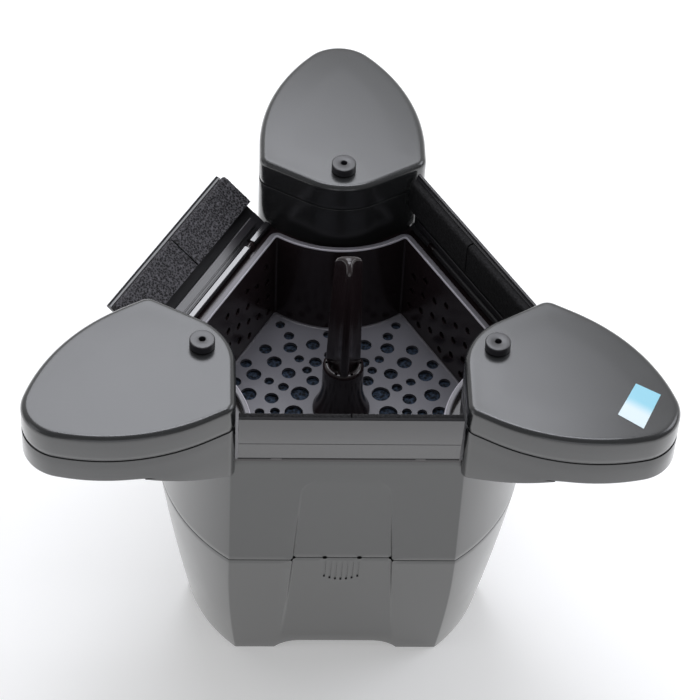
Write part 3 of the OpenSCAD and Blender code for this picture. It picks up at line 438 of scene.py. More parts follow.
def soften(obj, width, segments=2, angle=35):
    """Rounds the sharp edges of obj by width millimetres."""
    return modify(obj, "BEVEL", width=width * MM, segments=segments, limit_method="ANGLE",
                  angle_limit=math.radians(angle), use_clamp_overlap=True, harden_normals=False)


def smooth(obj, angle=30):
    pick(obj)
    bpy.ops.object.shade_smooth_by_angle(angle=math.radians(angle), keep_sharp_edges=False)
    return obj


def finish_piece(obj, material, body, slot, *nodes):
    """Gives obj its material and its body, and lets it stand for CAD nodes. slot is not used."""
    obj.data.materials.clear()
    obj.data.materials.append(MATERIALS[material])
    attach(obj, body)
    if nodes:
        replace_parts(obj, *nodes)
    return obj


def paint(obj, kinds, choose):
    """Puts further materials on obj's faces: choose(face) is 0 for its own, or 1 or 2 for the first or second
    of kinds."""
    for kind in kinds:
        obj.data.materials.append(MATERIALS[kind])
    for face in obj.data.polygons:
        face.material_index = choose(face)


# ---------------------------------------------------------------- outlines

def polar(radius, degrees):
    """The point at this distance and direction."""
    return radius * math.cos(math.radians(degrees)), radius * math.sin(math.radians(degrees))


def arc(centre, radius, a0, a1, n):
    """n + 1 points of an arc, angles in degrees."""
    spokes = [polar(radius, a0 + (a1 - a0) * k / n) for k in range(n + 1)]
    return [(centre[0] + x, centre[1] + y) for x, y in spokes]


def circle(r, z, n=64, x=0.0):
    """n points of a level circle whose middle is at x."""
    around = [2 * math.pi * k / n for k in range(n)]
    return [(x + r * math.cos(a), r * math.sin(a), z) for a in around]


def quarter_round(n, first=0):
    """How far a round edge of radius 1 has drawn in and risen, in n steps from upright to level."""
    around = [math.radians(90 * k / n) for k in range(first, n + 1)]
    return [(1 - math.cos(a), math.sin(a)) for a in around]


def at_z(points, z):
    return [(x, y, z) for x, y in points]


def all_round(side, directions):
    """The points of one side, (x, y) or (x, y, z), turned to each direction and put in one ring."""
    out = []
    for d in directions:
        c, s = math.cos(math.radians(d)), math.sin(math.radians(d))
        out += [(x * c - y * s, x * s + y * c, *z) for x, y, *z in side]
    return out


def float_outline(inset):
    """A float from above, drawn in by inset: a tip arc, side arcs, a corner on each side and a round inner
    side; the straights beside the inner side run along the neighbouring flaps. x runs out along the float."""
    s = sizes("floats")
    reach, half, wide = mm(s.reach), mm(s.half_width), mm(s.wide_at)
    tip, inner = mm(s.tip_radius), mm(s.inner_radius)
    run = reach - wide - tip
    side = (run * run + half * half - tip * tip) / (2 * (half - tip))
    tip_turn = math.degrees(math.atan2(side - half, run))
    centre = mm(s.inner_at) + inner
    corner = max(mm(s.corner_radius) - inset, 0.5)
    straight = centre * math.sin(math.radians(60)) - inner
    corner_x = (straight + inset + corner + (half - inset - corner) / 2) / math.sin(math.radians(60))
    half_line = (arc((reach - tip, 0), tip - inset, 0, tip_turn, 16)
                 + arc((wide, half - side), side - inset, tip_turn, 90, 22)[1:]
                 + arc((corner_x, half - inset - corner), corner, 90, 150, 10)
                 + arc((centre, 0), inner - inset, 150, 180, 14))
    return half_line + [(x, -y) for x, y in half_line[-2:0:-1]]


def well_outline(apothem, middle, scallop, corner):
    """A triangle with a scallop at each float, whose middle and radius are given, and with round corners."""
    centre = middle + scallop
    # the corner's arc touches the flat side and the scallop
    k = 2 * (apothem - corner) - centre
    y = (2 * math.sqrt(3) * k + math.sqrt(16 * (scallop + corner) ** 2 - 4 * k * k)) / 8
    x = 2 * (apothem - corner) - math.sqrt(3) * y
    end = math.degrees(math.atan2(-y, centre - x))
    start = math.degrees(math.atan2(y, x - centre))
    half = arc((x, y), corner, 60, end, 8) + arc((centre, 0), scallop, start, 180, 16)[1:]
    return all_round([(x, -y) for x, y in half[:-1]] + half[::-1], FLOATS.values())


def basket_outline(z, grow):
    """The basket's outline at height z, grown outward; it leans in towards its floor."""
    s = sizes("basket")
    down = (RIM_Z - z) / (RIM_Z - BASKET_Z)
    g = grow - BASKET_PLAY
    return well_outline(mm(s.well_at) + g - mm(s.flat_lean) * down,
                        mm(s.scallop_at) + g - mm(s.scallop_lean) * down,
                        mm(s.scallop_radius) - g - SCALLOP_SHRINK * down, BASKET_CORNER + grow)


# ---------------------------------------------------------------- materials

def add(tree, kind, settings=None, links=None):
    """Adds one node: settings by attribute or input name, links by input name to another node's output."""
    n = tree.nodes.new("ShaderNode" + kind)
    for key, value in (settings or {}).items():
        if isinstance(key, str) and hasattr(n, key):
            setattr(n, key, value)
        else:
            n.inputs[key].default_value = value
    for key, source in (links or {}).items():
        tree.links.new(source, n.inputs[key])
    return n


def new_material(name):
    """An empty material, its node tree and its Object coordinates."""
    m = bpy.data.materials.new(name)
    m.use_nodes = True
    t = m.node_tree
    t.nodes.clear()
    return m, t, add(t, "TexCoord").outputs["Object"]


def noise(tree, where, size_mm, **settings):
    """Noise whose grains are about size_mm across."""
    kept = {"Scale": 1 / (size_mm * MM), **{key.title(): value for key, value in settings.items()}}
    return add(tree, "TexNoise", kept, {"Vector": where}).outputs["Fac"]


def spread(tree, value, lo, hi, **settings):
    """Maps value to lo ... hi."""
    kept = {"To Min": lo, "To Max": hi, **{key.title().replace("_", " "): v for key, v in settings.items()}}
    return add(tree, "MapRange", kept, {"Value": value}).outputs["Result"]


def bumps(tree, height, strength, depth_mm):
    bump = add(tree, "Bump", {"Strength": strength, "Distance": depth_mm * MM}, {"Height": height})
    return bump.outputs["Normal"]


def two_tones(tree, value, first, second, positions=(0.0, 1.0)):
    """A ramp between two linear colours."""
    ramp = add(tree, "ValToRGB", None, {"Fac": value})
    for element, rgb, position in zip(ramp.color_ramp.elements, (first, second), positions):
        element.color = (*rgb, 1)
        element.position = position
    return ramp


def shade(rgb, k):
    """The same colour k times as light."""
    return tuple(min(1.0, c * k) for c in rgb)


def surface(tree, settings, links):
    """The material's shader, on its output."""
    shader = add(tree, "BsdfPrincipled", settings, links)
    add(tree, "OutputMaterial", None, {"Surface": shader.outputs["BSDF"]})


def moulded(name, rgb, roughness, grain_mm, grain, streak=0.12, coat=0.0, specular=0.5):
    """Injection-moulded plastic: a fine grain, and slow drifts of tone and gloss where the melt ran."""
    m, t, where = new_material(name)
    drift = noise(t, where, DRIFT_SIZE, detail=3.0, roughness=0.55)
    tone = spread(t, drift, 1 - streak, 1 + streak, from_min=0.2, from_max=0.8)
    tint = add(t, "MixRGB", {"blend_type": "MULTIPLY", "Fac": 1.0, "Color1": (*rgb, 1)}, {"Color2": tone})
    gloss = spread(t, drift, roughness * 0.92, roughness * 1.08, from_min=0.15, from_max=0.85)
    pits = bumps(t, noise(t, where, grain_mm, detail=2.0, roughness=0.5), grain, 0.12)
    surface(t, {"IOR": 1.5, "Specular IOR Level": specular, "Coat Weight": coat, "Coat Roughness": 0.12},
            {"Base Color": tint.outputs["Color"], "Roughness": gloss, "Normal": pits})
    return m


def foam(name, rgb, pore_mm, dark, light):
    """Open-cell polyurethane foam, cut: round open pores of one size give dark specks between pale struts."""
    m, t, where = new_material(name)
    pores = add(t, "TexVoronoi", {"Scale": 1 / (pore_mm * MM), "feature": "F1", "Randomness": 1.0},
                {"Vector": where})
    struts = noise(t, where, pore_mm * 0.45, detail=3.0, roughness=0.7)
    product = add(t, "Math", {"operation": "MULTIPLY"}, {0: pores.outputs["Distance"], 1: struts})
    depth = product.outputs["Value"]
    ramp = two_tones(t, depth, shade(rgb, dark), shade(rgb, light), (0.12, 0.50))
    surface(t, {"Roughness": 0.85, "IOR": 1.45, "Specular IOR Level": 0.35},
            {"Base Color": ramp.outputs["Color"], "Normal": bumps(t, depth, 0.9, 0.9)})
    return m


def rubber(name, text):
    """Moulded EPDM rubber: nearly black, dull, with a faint bloom."""
    m, t, where = new_material(name)
    bloom = noise(t, where, 6.0, detail=4.0)
    ramp = two_tones(t, bloom, hex_linear(text), shade(hex_linear(text), 1.7))
    surface(t, {"Roughness": 0.75, "IOR": 1.5},
            {"Base Color": ramp.outputs["Color"], "Normal": bumps(t, bloom, 0.2, 0.1)})
    return m


def steel(name):
    """Drawn stainless steel: grey, with fine scratches that break up its highlight."""
    m, t, where = new_material(name)
    scratches = noise(t, where, 0.8, detail=3.0)
    surface(t, {"Metallic": 1.0, "Base Color": (*hex_linear("#b4b6b8"), 1)},
            {"Roughness": spread(t, scratches, 0.16, 0.38), "Normal": bumps(t, scratches, 0.15, 0.04)})
    return m


def vinyl(name, band):
    """Printed vinyl label with a satin film, left blank: a pale field that fades into one coloured band."""
    m, t, where = new_material(name)
    uv = add(t, "UVMap", {"uv_map": "UVMap"})
    part = add(t, "SeparateXYZ", None, {"Vector": uv.outputs["UV"]})
    ramp = two_tones(t, part.outputs["Y"], hex_linear("#dcebf0"), band, (0.30, 0.62))
    ramp.color_ramp.interpolation = "EASE"
    film = spread(t, noise(t, where, 1.1, detail=2.0), 0.28, 0.42)
    surface(t, {"IOR": 1.48}, {"Base Color": ramp.outputs["Color"], "Roughness": film})
    return m


MATERIALS = {}


def make_materials():
    c = bpy.context.scene.skimmer_colours
    abs_satin = {"grain_mm": 0.9, "streak": 0.10, "specular": 0.75}
    MATERIALS.update({
        # ABS from a lightly textured mould: satin, so it carries a soft picture of the lights
        "float": moulded("satin_ABS_float", c.float_abs, 0.25, grain=0.05, **abs_satin),
        "housing": moulded("satin_ABS_housing", c.housing_abs, 0.32, grain=0.08, **abs_satin),
        "flap": moulded("satin_ABS_flap", c.flap_abs, 0.24, grain=0.05, **abs_satin),
        # the same ABS polished by wear: it shines
        "land": moulded("polished_ABS_land", c.flap_abs, 0.18, 0.9, 0.02, streak=0.05, coat=1.0,
                        specular=1.0),
        # the same ABS, dull, at half its tone: painted shade under the foam, under the barrel and on the top
        # edge
        "matt": moulded("matt_ABS_painted_shade", shade(c.flap_abs, 0.5), 0.6, 0.25, 0.3, streak=0.05, specular=0.2),
        # polypropylene from a polished mould: near black with sharp highlights
        "basket": moulded("gloss_polypropylene_basket", c.basket_pp, 0.20, 1.4, 0.05),
        # polypropylene from a satin mould: grey, with a broad soft shine
        "floor": moulded("satin_polypropylene_floor", c.floor_pp, 0.38, 1.0, 0.08),
        "rim": moulded("satin_polypropylene_rim", c.rim_pp, 0.36, 1.0, 0.08),
        # the same polypropylene three times as pale: a painted highlight along the rim's inner edge
        "rim_highlight": moulded("polypropylene_rim_painted_highlight", shade(c.rim_pp, 3.0), 0.3, 1.0, 0.05),
        # polyethylene: black and waxy, with a soft shine
        "plug": moulded("satin_polyethylene_plug", c.plug_pe, 0.34, 0.8, 0.10, streak=0.10, specular=0.75),
        # glass-filled polyamide: matt, with a coarser grain
        "pump": moulded("matt_polyamide_pump", hex_linear("#2c2d30"), 0.52, 0.7, 0.35),
        # EPDM rubber: the dullest and blackest of all
        "rubber": rubber("EPDM_rubber_seal", "#141416"),
        # drawn stainless steel: the only bright metal
        "steel": steel("drawn_stainless_steel"),
        # dry polyurethane foam: grey, speckled with open pores
        "pad": foam("open_cell_polyurethane_pad", c.pad_foam, 1.9, 0.05, 2.75),
        # the same foam at about a quarter of its tone: painted shade for the pads that face away from the
        # light
        "pad_shaded": foam("polyurethane_foam_painted_shade", shade(c.pad_foam, 0.28), 1.9, 0.3, 1.5),
        # coarse blue polyurethane foam: dark, with pale struts
        "filter": foam("open_cell_polyurethane_filter", c.filter_foam, 3.0, 0.05, 4.2),
        # printed vinyl: the one pale, coloured patch
        "label": vinyl("satin_vinyl_label", c.label),
    })


def of_each(kind, places):
    """The names of the CAD nodes of a kind that is there once for each place."""
    return [kind + "_" + place for place in places]


NODE_MATERIALS = {
    "basket": ["weir_frame", "grip_socket", "grip", "basket_frame", "pump_volute", "pump_strainer",
               "outlet_nozzle", "nozzle_nut", *of_each("basket_screen", FLAPS),
               *of_each("hinge_clips", FLAPS)],
    "pump": ["pump_motor", "pump_cradle", "foam_grate", "impeller", "housing_floor"],
    "rubber": ["housing_gasket", "nozzle_seal", "pump_feet", "cable_gland", "gland_nut",
               *of_each("plug_seal", FLOATS)],
    "steel": ["housing_screws", "float_screws", "grip_screw", "impeller_shaft", *of_each("hinge_rod", FLAPS)],
    "float": [*of_each("float_shell", FLOATS), *of_each("float_neck", FLOATS),
              *of_each("float_cover", FLOATS)],
    "plug": of_each("float_plug", FLOATS),
    "housing": ["lower_housing", "upper_housing"],
    "flap": of_each("flap", FLAPS),
    "pad": of_each("flap_pads", FLAPS),
    "filter": ["filter_foam"],
    "floor": ["basket_floor"],
}


# ---------------------------------------------------------------- floats

def crown_at(x, y):
    """Height of a float's slightly domed top at a place, above its round edge."""
    s = sizes("floats")
    middle = (mm(s.reach) + mm(s.inner_at)) / 2
    long, wide = mm(s.reach) - middle, mm(s.half_width)
    return mm(s.crown) * max(0.0, 1 - ((x - middle) / long) ** 2 - (y / wide) ** 2)


def crowned(inset, z):
    return [(x, y, z + crown_at(x, y)) for x, y in float_outline(inset)]


def float_ring(inset, z):
    return at_z(float_outline(inset), z)


def float_top():
    """Height of the top's edge."""
    s = sizes("floats")
    return FLOAT_Z + mm(s.shell_height) + mm(s.cover_height) + mm(s.edge_radius)


def plug_place():
    """Where a filler plug stands: its distance from the main axis and the height of its seat."""
    s = sizes("floats")
    return mm(s.inner_at) + mm(s.plug_in), float_top() + mm(s.crown) + 0.1


def finish_float(obj, node, direction):
    """Puts a piece of a float in its direction and finishes it."""
    turn(obj, direction)
    smooth(obj, 40)
    finish_piece(obj, "float", "housing", "float_plastic", node)


def make_cover(name, direction):
    """A float's flat-topped cover with a crisp round edge, and the filler plug's seat on it."""
    s = sizes("floats")
    edge, ledge = mm(s.edge_radius), mm(s.seam_ledge)
    split = FLOAT_Z + mm(s.shell_height)
    top = split + mm(s.cover_height)
    # inset and height above the seam: the wall stands back by the ledge, and comes out flush higher up
    wall = ((SEAM_LAP, 0.3), (ledge + 0.3, 0.3), (ledge, 0.6), (ledge, 1.6), (ledge * 0.4, 3.4), (0, 6))
    rings = [float_ring(inset, split + up) for inset, up in wall] + [float_ring(0, top)]
    rings += [crowned(edge * drawn, top + edge * risen) for drawn, risen in quarter_round(12, 1)]
    rings += [crowned(inset, top + edge) for inset in CROWN_INSETS]
    cover = loft("float_cover_" + name, rings)
    x, z = plug_place()
    seat = loft("float_seat", [circle(SEAT_R, z - 4, 48, x), circle(SEAT_R, z, 48, x)])
    finish_float(join(seat, cover), "float_cover_" + name, direction)


def foot_plane():
    """The foot's sloping underside: where it meets the housing, out and up, and its slope."""
    s = sizes("floats")
    return mm(sizes("housing").corner_radius) - FOOT_IN, DECK_Z - mm(s.skirt_drop), math.tan(s.skirt_slope)


def make_shell(name, direction):
    """A float's lower shell: over the foot its wall runs straight down, and beyond, its underside has a round
    edge."""
    s = sizes("floats")
    under, height = mm(s.under_radius), mm(s.shell_height)
    split = FLOAT_Z + height
    foot_r, foot_z, slope = foot_plane()
    foot_end = foot_r + (FLOAT_Z - foot_z) / slope

    def under_ring(inset, z):
        out = []
        for p, q in zip(float_outline(0), float_outline(inset)):
            w = clamp((p[0] - foot_end) / FOOT_BLEND + 0.5)
            out.append((p[0] + (q[0] - p[0]) * w, p[1] + (q[1] - p[1]) * w, z))
        return out
    rings = [under_ring(under * (1 - risen) + 0.01, FLOAT_Z + under * drawn)
             for drawn, risen in quarter_round(6)]
    rings.append(float_ring(0, FLOAT_Z + height * 0.6))
    # inset and depth below the seam
    lip = ((0, 0.5), (0.08, 0.15), (0.25, 0), (SEAM_LAP, 0))
    rings += [float_ring(inset, split - down) for inset, down in lip]
    finish_float(loft("float_shell_" + name, rings), "float_shell_" + name, direction)


def make_foot(name, direction):
    """A float's foot: the same outline, cut off by a plane that slopes down to the housing, and hollowed for
    it."""
    foot_r, foot_z, slope = foot_plane()
    tilt = sizes("floats").skirt_slope
    foot = loft("float_neck_" + name, [float_ring(0, foot_z - 30), float_ring(0, FLOAT_Z - 0.02)])
    edit(foot)
    bpy.ops.mesh.select_all(action="SELECT")
    bpy.ops.mesh.bisect(plane_co=(foot_r * MM, 0, foot_z * MM), plane_no=(-math.sin(tilt), 0, math.cos(tilt)),
                        use_fill=True, clear_inner=True, clear_outer=False)
    bpy.ops.mesh.select_all(action="DESELECT")
    bm = bmesh.from_edit_mesh(foot.data)
    for e in bm.edges:
        if all(abs(v.co.z - (foot_z + (v.co.x / MM - foot_r) * slope) * MM) < 1e-6 for v in e.verts):
            e.select = True
    bm.select_flush(True)
    bmesh.update_edit_mesh(foot.data)
    bpy.ops.mesh.bevel(offset=FOOT_EDGE * MM, offset_type="WIDTH", segments=4, affect="EDGES")
    normals_out()
    done(foot)
    room = mm(sizes("housing").corner_radius) + FOOT_PLAY
    cut(foot, peg("housing_room", room, foot_z - 60, DECK_Z + 0.02, 180))
    finish_float(foot, "float_neck_" + name, direction)


def make_plug(name, direction):
    """Filler plug: a round-edged disc with a socket in the middle, on a short shank."""
    s = sizes("floats")
    r, h = mm(s.plug_diameter) / 2, mm(s.plug_height)
    x, z = plug_place()
    # radius and height above the seat: shank, seal groove and head, then the socket
    outside = [(6.5, -10), (6.5, 1.45), (9.15, 1.45), (9.2, -0.5), (r - 0.6, -0.5), (r, 0.1),
               (r, h - PLUG_EDGE)]
    edge = [(r - PLUG_EDGE * drawn, h - PLUG_EDGE * (1 - risen)) for drawn, risen in quarter_round(6, 1)]
    socket = [(r * 0.72, h), (3.4, h), (3.05, h - 0.12), (2.8, h - 0.5), (2.75, 2.4)]
    profile = outside + edge + socket
    plug = loft("float_plug_" + name, [circle(radius, z + up, 64, x) for radius, up in profile])
    turn(plug, direction)
    smooth(plug, 40)
    finish_piece(plug, "plug", "plug_" + name, "plug_plastic", "float_plug_" + name)


def make_label():
    """A blank two-tone label: a grid between its four corners, laid on the right float's domed cover."""
    cover = next(o for o in bpy.data.objects if "float_cover_right" in o.get("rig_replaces", []))
    outer_left, outer_right, inner_right, inner_left = LABEL_CORNERS
    pick_nothing()
    bpy.ops.mesh.primitive_grid_add(x_subdivisions=24, y_subdivisions=18, size=2)
    obj = call(bpy.context.object, "label_blank")
    for v in obj.data.vertices:
        u, w = (v.co.x + 1) / 2, (v.co.y + 1) / 2
        p = [(1 - u) * (1 - w) * inner_left[k] + u * (1 - w) * inner_right[k]
             + u * w * outer_right[k] + (1 - u) * w * outer_left[k] for k in (0, 1)]
        v.co = Vector((p[0] * MM, p[1] * MM, LABEL_START_Z * MM))
    modify(obj, "SHRINKWRAP", target=cover, wrap_method="PROJECT", use_project_z=True,
           use_positive_direction=False, use_negative_direction=True, offset=LABEL_GAP * MM)
    modify(obj, "SOLIDIFY", thickness=LABEL_T * MM, offset=1.0)
    smooth(obj, 50)
    finish_piece(obj, "label", "housing", None)


# ---------------------------------------------------------------- housings

def hull_ring(hull, z_of, corner_in=0.0, flat_in=0.0, recessed=True):
    """One ring round a housing, its round corners and flat sides drawn in. z_of gives the height at a place
    along a flat side, or in the round corners for None. hull holds functions of height: the corners' radius,
    the flat sides' distance from the main axis, and each panel's half width, depth and edge width."""
    arris = mm(sizes("housing").arris_radius)
    corner_z = z_of(None)

    def radius(z):
        return hull.radius(z) - corner_in

    def flat(z):
        return hull.flat(z) - flat_in

    def flank(z):
        """Half the length of a flat side."""
        return math.sqrt(max((radius(z) - arris) ** 2 - (flat(z) - arris) ** 2, 0))

    def point(place, sunk):
        """The point at place(z) along a flat side, sunk by a share of the panel's depth. Height and place
        depend on each other, so they're found in a few rounds."""
        z = corner_z
        for _ in range(4):
            z = z_of(place(z))
        return flat(z) - (hull.depth(z) * sunk if recessed else 0.0), place(z), z
    side = [point(lambda z: p * (hull.half(z) - hull.edge(z)), 1) for p in PANEL_STEPS]
    side += [point(lambda z: hull.half(z) - hull.edge(z) + p * hull.edge(z), 1 - p * p * (3 - 2 * p))
             for p in EDGE_STEPS]
    side += [point(lambda z: hull.half(z) + p * (flank(z) - hull.half(z)), 0) for p in FLANK_STEPS]
    corner, middle = radius(corner_z), (flat(corner_z) - arris, flank(corner_z))
    end = math.degrees(math.atan2(middle[1], middle[0]))
    side += at_z(arc(middle, arris, 0, end, 5)[1:] + arc((0, 0), corner, end, 60, 15)[1:], corner_z)
    return all_round([(x, -t, z) for x, t, z in side[-2:0:-1]] + side, sorted(FLAPS.values()))


def lower_hull():
    """The lower housing's corners, flat sides and panels as functions of height."""
    s = sizes("housing")

    def radius(z):
        k = z / SEAM_Z
        base = mm(s.base_radius)
        return base + (mm(s.corner_radius) - base) * k + 4 * CORNER_BULGE * k * (1 - k)

    def flat(z):
        base = mm(s.base_flat_at)
        return base + (mm(s.flat_at) - base) * z / SEAM_Z

    def half(z):
        # the panel's sides flare towards the arch
        k = 1 - z / SEAM_Z
        panel = mm(s.panel_half)
        return panel + (mm(s.arch_half) - panel) * ((1 - FLARE_CURVE) * k + FLARE_CURVE * k ** 3)

    def depth(z):
        return mm(s.panel_depth) * clamp((z - PANEL_FOOT_Z) / (SEAM_Z - PANEL_FOOT_Z)) ** PANEL_EASE

    def edge(z):
        return PANEL_EDGE + PANEL_EDGE_GROWTH * (1 - z / SEAM_Z)
    return SimpleNamespace(radius=radius, flat=flat, half=half, depth=depth, edge=edge)


def upper_hull():
    """The same for the upper housing: upright walls, and a niche that runs out towards its round top."""
    s = sizes("housing")

    def up(z):
        return clamp((z - UPPER_Z) / NICHE_H)

    def half(z):
        # the round top stops just short of level
        u = clamp((up(z) - NICHE_BEND) / (1 - NICHE_BEND))
        return mm(s.panel_half) - NICHE_DRAW * up(z) - NICHE_ROUND * (1 - math.sqrt(1 - u * u * 0.98))

    def depth(z):
        return mm(s.panel_depth) * (1 - up(z)) ** NICHE_EASE

    def edge(z):
        return NICHE_EDGE + NICHE_EDGE * up(z)
    return SimpleNamespace(radius=lambda z: mm(s.corner_radius), flat=lambda z: mm(s.flat_at),
                           half=half, depth=depth, edge=edge)


def arch(t):
    """Height of the lower housing's edge at t along a flat side: level in the middle, with round flanks down
    to the feet. None stands for the round corners, which are feet."""
    s = sizes("housing")
    rise, half = mm(s.arch_height), mm(s.arch_half)
    if t is None or abs(t) >= half:
        return 0.0
    if abs(t) <= ARCH_LEVEL_HALF:
        return rise
    r = ((half - ARCH_LEVEL_HALF) ** 2 + rise * rise) / (2 * rise)
    return max(0.0, rise - r + math.sqrt(max(r * r - (abs(t) - ARCH_LEVEL_HALF) ** 2, 0)))


def level_rings(hull, rows):
    """Level rings, one for each row: height, how far corners and flat sides draw in, and if panels show."""
    return [hull_ring(hull, lambda t: z, *row) for z, *row in rows]


def lower_wall(hull):
    """The lower housing's skin: up its inside, over the seam, and down to the arches and feet."""
    top = SEAM_Z
    rings = level_rings(hull, (
        (17.0, 3, 7, False), (top - 4, 3, 7, False), (top - 3.5, 12, 9, False), (top, 12, 9, False),
        (top, 3, 6, True), (top, 0.5, 0.5, True), (top - 0.15, 0.15, 0.15, True), (top - 0.5, 0, 0, True)))
    for k in range(1, 25):
        rings.append(hull_ring(hull, lambda t: top - 0.5 + (arch(t) + 3.2 - top + 0.5) * k / 25))
    for drawn, risen in quarter_round(6):
        inset = FOOT_ROUND * drawn * 0.7
        rings.append(hull_ring(hull, lambda t: arch(t) + FOOT_ROUND * (1 - risen), inset, inset))
    rings.append(hull_ring(hull, lambda t: arch(t) + 0.4, 5.4, 6.4, False))
    rings.append(hull_ring(hull, lambda t: max(arch(t), 13.0) + 0.2, 6, 7, False))
    body = loft("lower_housing_wall", rings, start=False, end=False)
    # the two open rims meet in the floor's seat
    edit(body)
    bpy.ops.mesh.select_non_manifold(extend=False, use_boundary=True, use_wire=False, use_multi_face=False,
                                     use_non_contiguous=False, use_verts=False)
    bpy.ops.mesh.bridge_edge_loops()
    normals_out()
    done(body)
    return body


def vents(hull, direction):
    """Tools that cut the vent slots of one flat side; the outer slots are shorter at both ends."""
    height = mm(sizes("housing").vent_height)
    high = SEAM_Z - VENT_DROP
    low = high - height
    at_high = hull.flat(high) - hull.depth(high)
    lean = math.atan2(at_high - (hull.flat(low) - hull.depth(low)), high - low)
    slots = []
    for p in range(-3, 4):
        slot = block("vent", (-VENT_DEPTH, -VENT_HALF, VENT_FOOT_RISE * p * p - height),
                     (20, VENT_HALF, VENT_RISE * p * p - VENT_TOP))
        move(slot, Matrix.Rotation(lean, 4, "Y"))
        move(slot, shift(at_high, p * VENT_STEP, high))
        slots.append(turn(slot, direction))
    return slots


def drains(direction):
    """Tools that drill the drain holes of one flat side: at the panel's sides and beside the vents."""
    s = sizes("housing")
    edge = mm(s.panel_half) - 1.2
    holes = []
    for t in (-edge, -DRAIN_AT, DRAIN_AT, edge):
        hole = peg("drain", DRAIN_R, -14, 8, 24)
        move(hole, spin(90, "Y"))
        move(hole, shift(mm(s.flat_at), t, SEAM_Z + DRAIN_RISE))
        holes.append(turn(hole, direction))
    return holes


def make_lower_housing():
    """The tapered lower housing: round corners, leaning flat sides with flared panels, an arch between the
    feet, vent slots and drain holes."""
    hull = lower_hull()
    body = lower_wall(hull)
    for d in FLAPS.values():
        cut(body, *vents(hull, d), *drains(d))
    smooth(body, 28)
    finish_piece(body, "housing", "housing", "housing_plastic", "lower_housing")


def make_upper_housing():
    """The upper housing: upright walls, and a shallow niche in each flat side that runs out near its top."""
    z0, z1 = UPPER_Z, UPPER_Z + mm(sizes("housing").upper_height)
    rows = [(z0 + 4, 14, 10, False), (z0, 14, 10, False), (z0, 3, 6, True), (z0, 0.5, 0.5, True),
            (z0 + 0.15, 0.15, 0.15, True), (z0 + 0.5, 0, 0, True)]
    rows += [(z0 + 0.5 + (z1 - 1.0 - z0) * k / 26, 0, 0, True) for k in range(1, 27)]
    rows += [(z1 - 0.15, 0.15, 0.15, False), (z1, 0.5, 0.5, False), (z1, 3, 7, False), (z0 + 5, 3, 7, False)]
    body = ring_tube("upper_housing_wall", level_rings(upper_hull(), rows))
    for d in FLAPS.values():
        cut(body, *drains(d))
    smooth(body, 28)
    finish_piece(body, "housing", "housing", "housing_plastic", "upper_housing")


# ---------------------------------------------------------------- weir flaps

def flap_place(direction, tilt):
    """Matrix from a flap's own frame, hinge axis along Y and outward along X, to its place."""
    return spin(direction, "Z") @ shift(HINGE_AT, 0, DECK_Z + HINGE_RISE) @ Matrix.Rotation(tilt, 4, "Y")


def along(name, profile, y0, y1):
    """A bar along Y with this (x, z) profile."""
    return loft(name, [[(x, y0, z) for x, z in profile], [(x, y1, z) for x, z in profile]])


def clip_places():
    """Where the middles of a flap's two clips are along its hinge, from the CAD clips."""
    clip = frame["nodes"]["hinge_clips_front"]
    reach = max(abs((clip.matrix_world @ v.co).x) for v in clip.data.vertices) / MM
    return (-(reach - CLIP_W / 2), reach - CLIP_W / 2)


def flap_profile():
    """A flap's section, (x, z) from the hinge axis: up the outer skin, over the bead along the top edge, down
    the inner side past the bar and two thin ribs, and round the barrel with its flat land."""
    s = sizes("flaps")
    h, start = mm(s.height), mm(s.pad_start)
    skin = [(BARREL_R - 0.3, -0.2), (BARREL_R - 0.3, 1.5), (BARREL_R, 1.8), (BARREL_R, start - 1.6),
            (BARREL_R - 0.5, start - 1.3), (BARREL_R - 0.5, start - 1.0), (BARREL_R, start - 0.7)]
    bead = [(BARREL_R, h - 0.4), (BARREL_R - 0.12, h - 0.1), (BARREL_R - 0.4, h), (INNER + 0.3, h),
            (INNER - 0.3, h - 0.5), (INNER - 0.5, h - 1.75), (INNER - 1.7, h - 3.4), (INNER - 1.5, h - 3.8),
            (INNER, h - 3.9)]
    bar = [(INNER, start - 0.3), (INNER + 0.4, start - 0.5), (INNER + 0.4, BAR_TOP),
           (BAR_X + 0.3, BAR_TOP - 0.2), (BAR_X, BAR_TOP - 0.6), (BAR_X, 9.2), (BAR_X + 0.4, 8.8),
           (INNER - 0.3, 8.7), (INNER, 8.4)]
    ribs = []
    for top, foot in RIBS:
        ribs += [(INNER, top), (RIB_X, top - 0.2), (RIB_X, foot + 0.2), (INNER, foot)]
    land, land_end = LAND_AT - LAND_HALF, LAND_AT + LAND_HALF
    round_it = (land - 6, land - 1.5, land, land_end, land_end + 1.5, *range(land_end + 7, 350, 9))
    return skin + bead + bar + ribs + [polar(BARREL_R, a) for a in round_it]


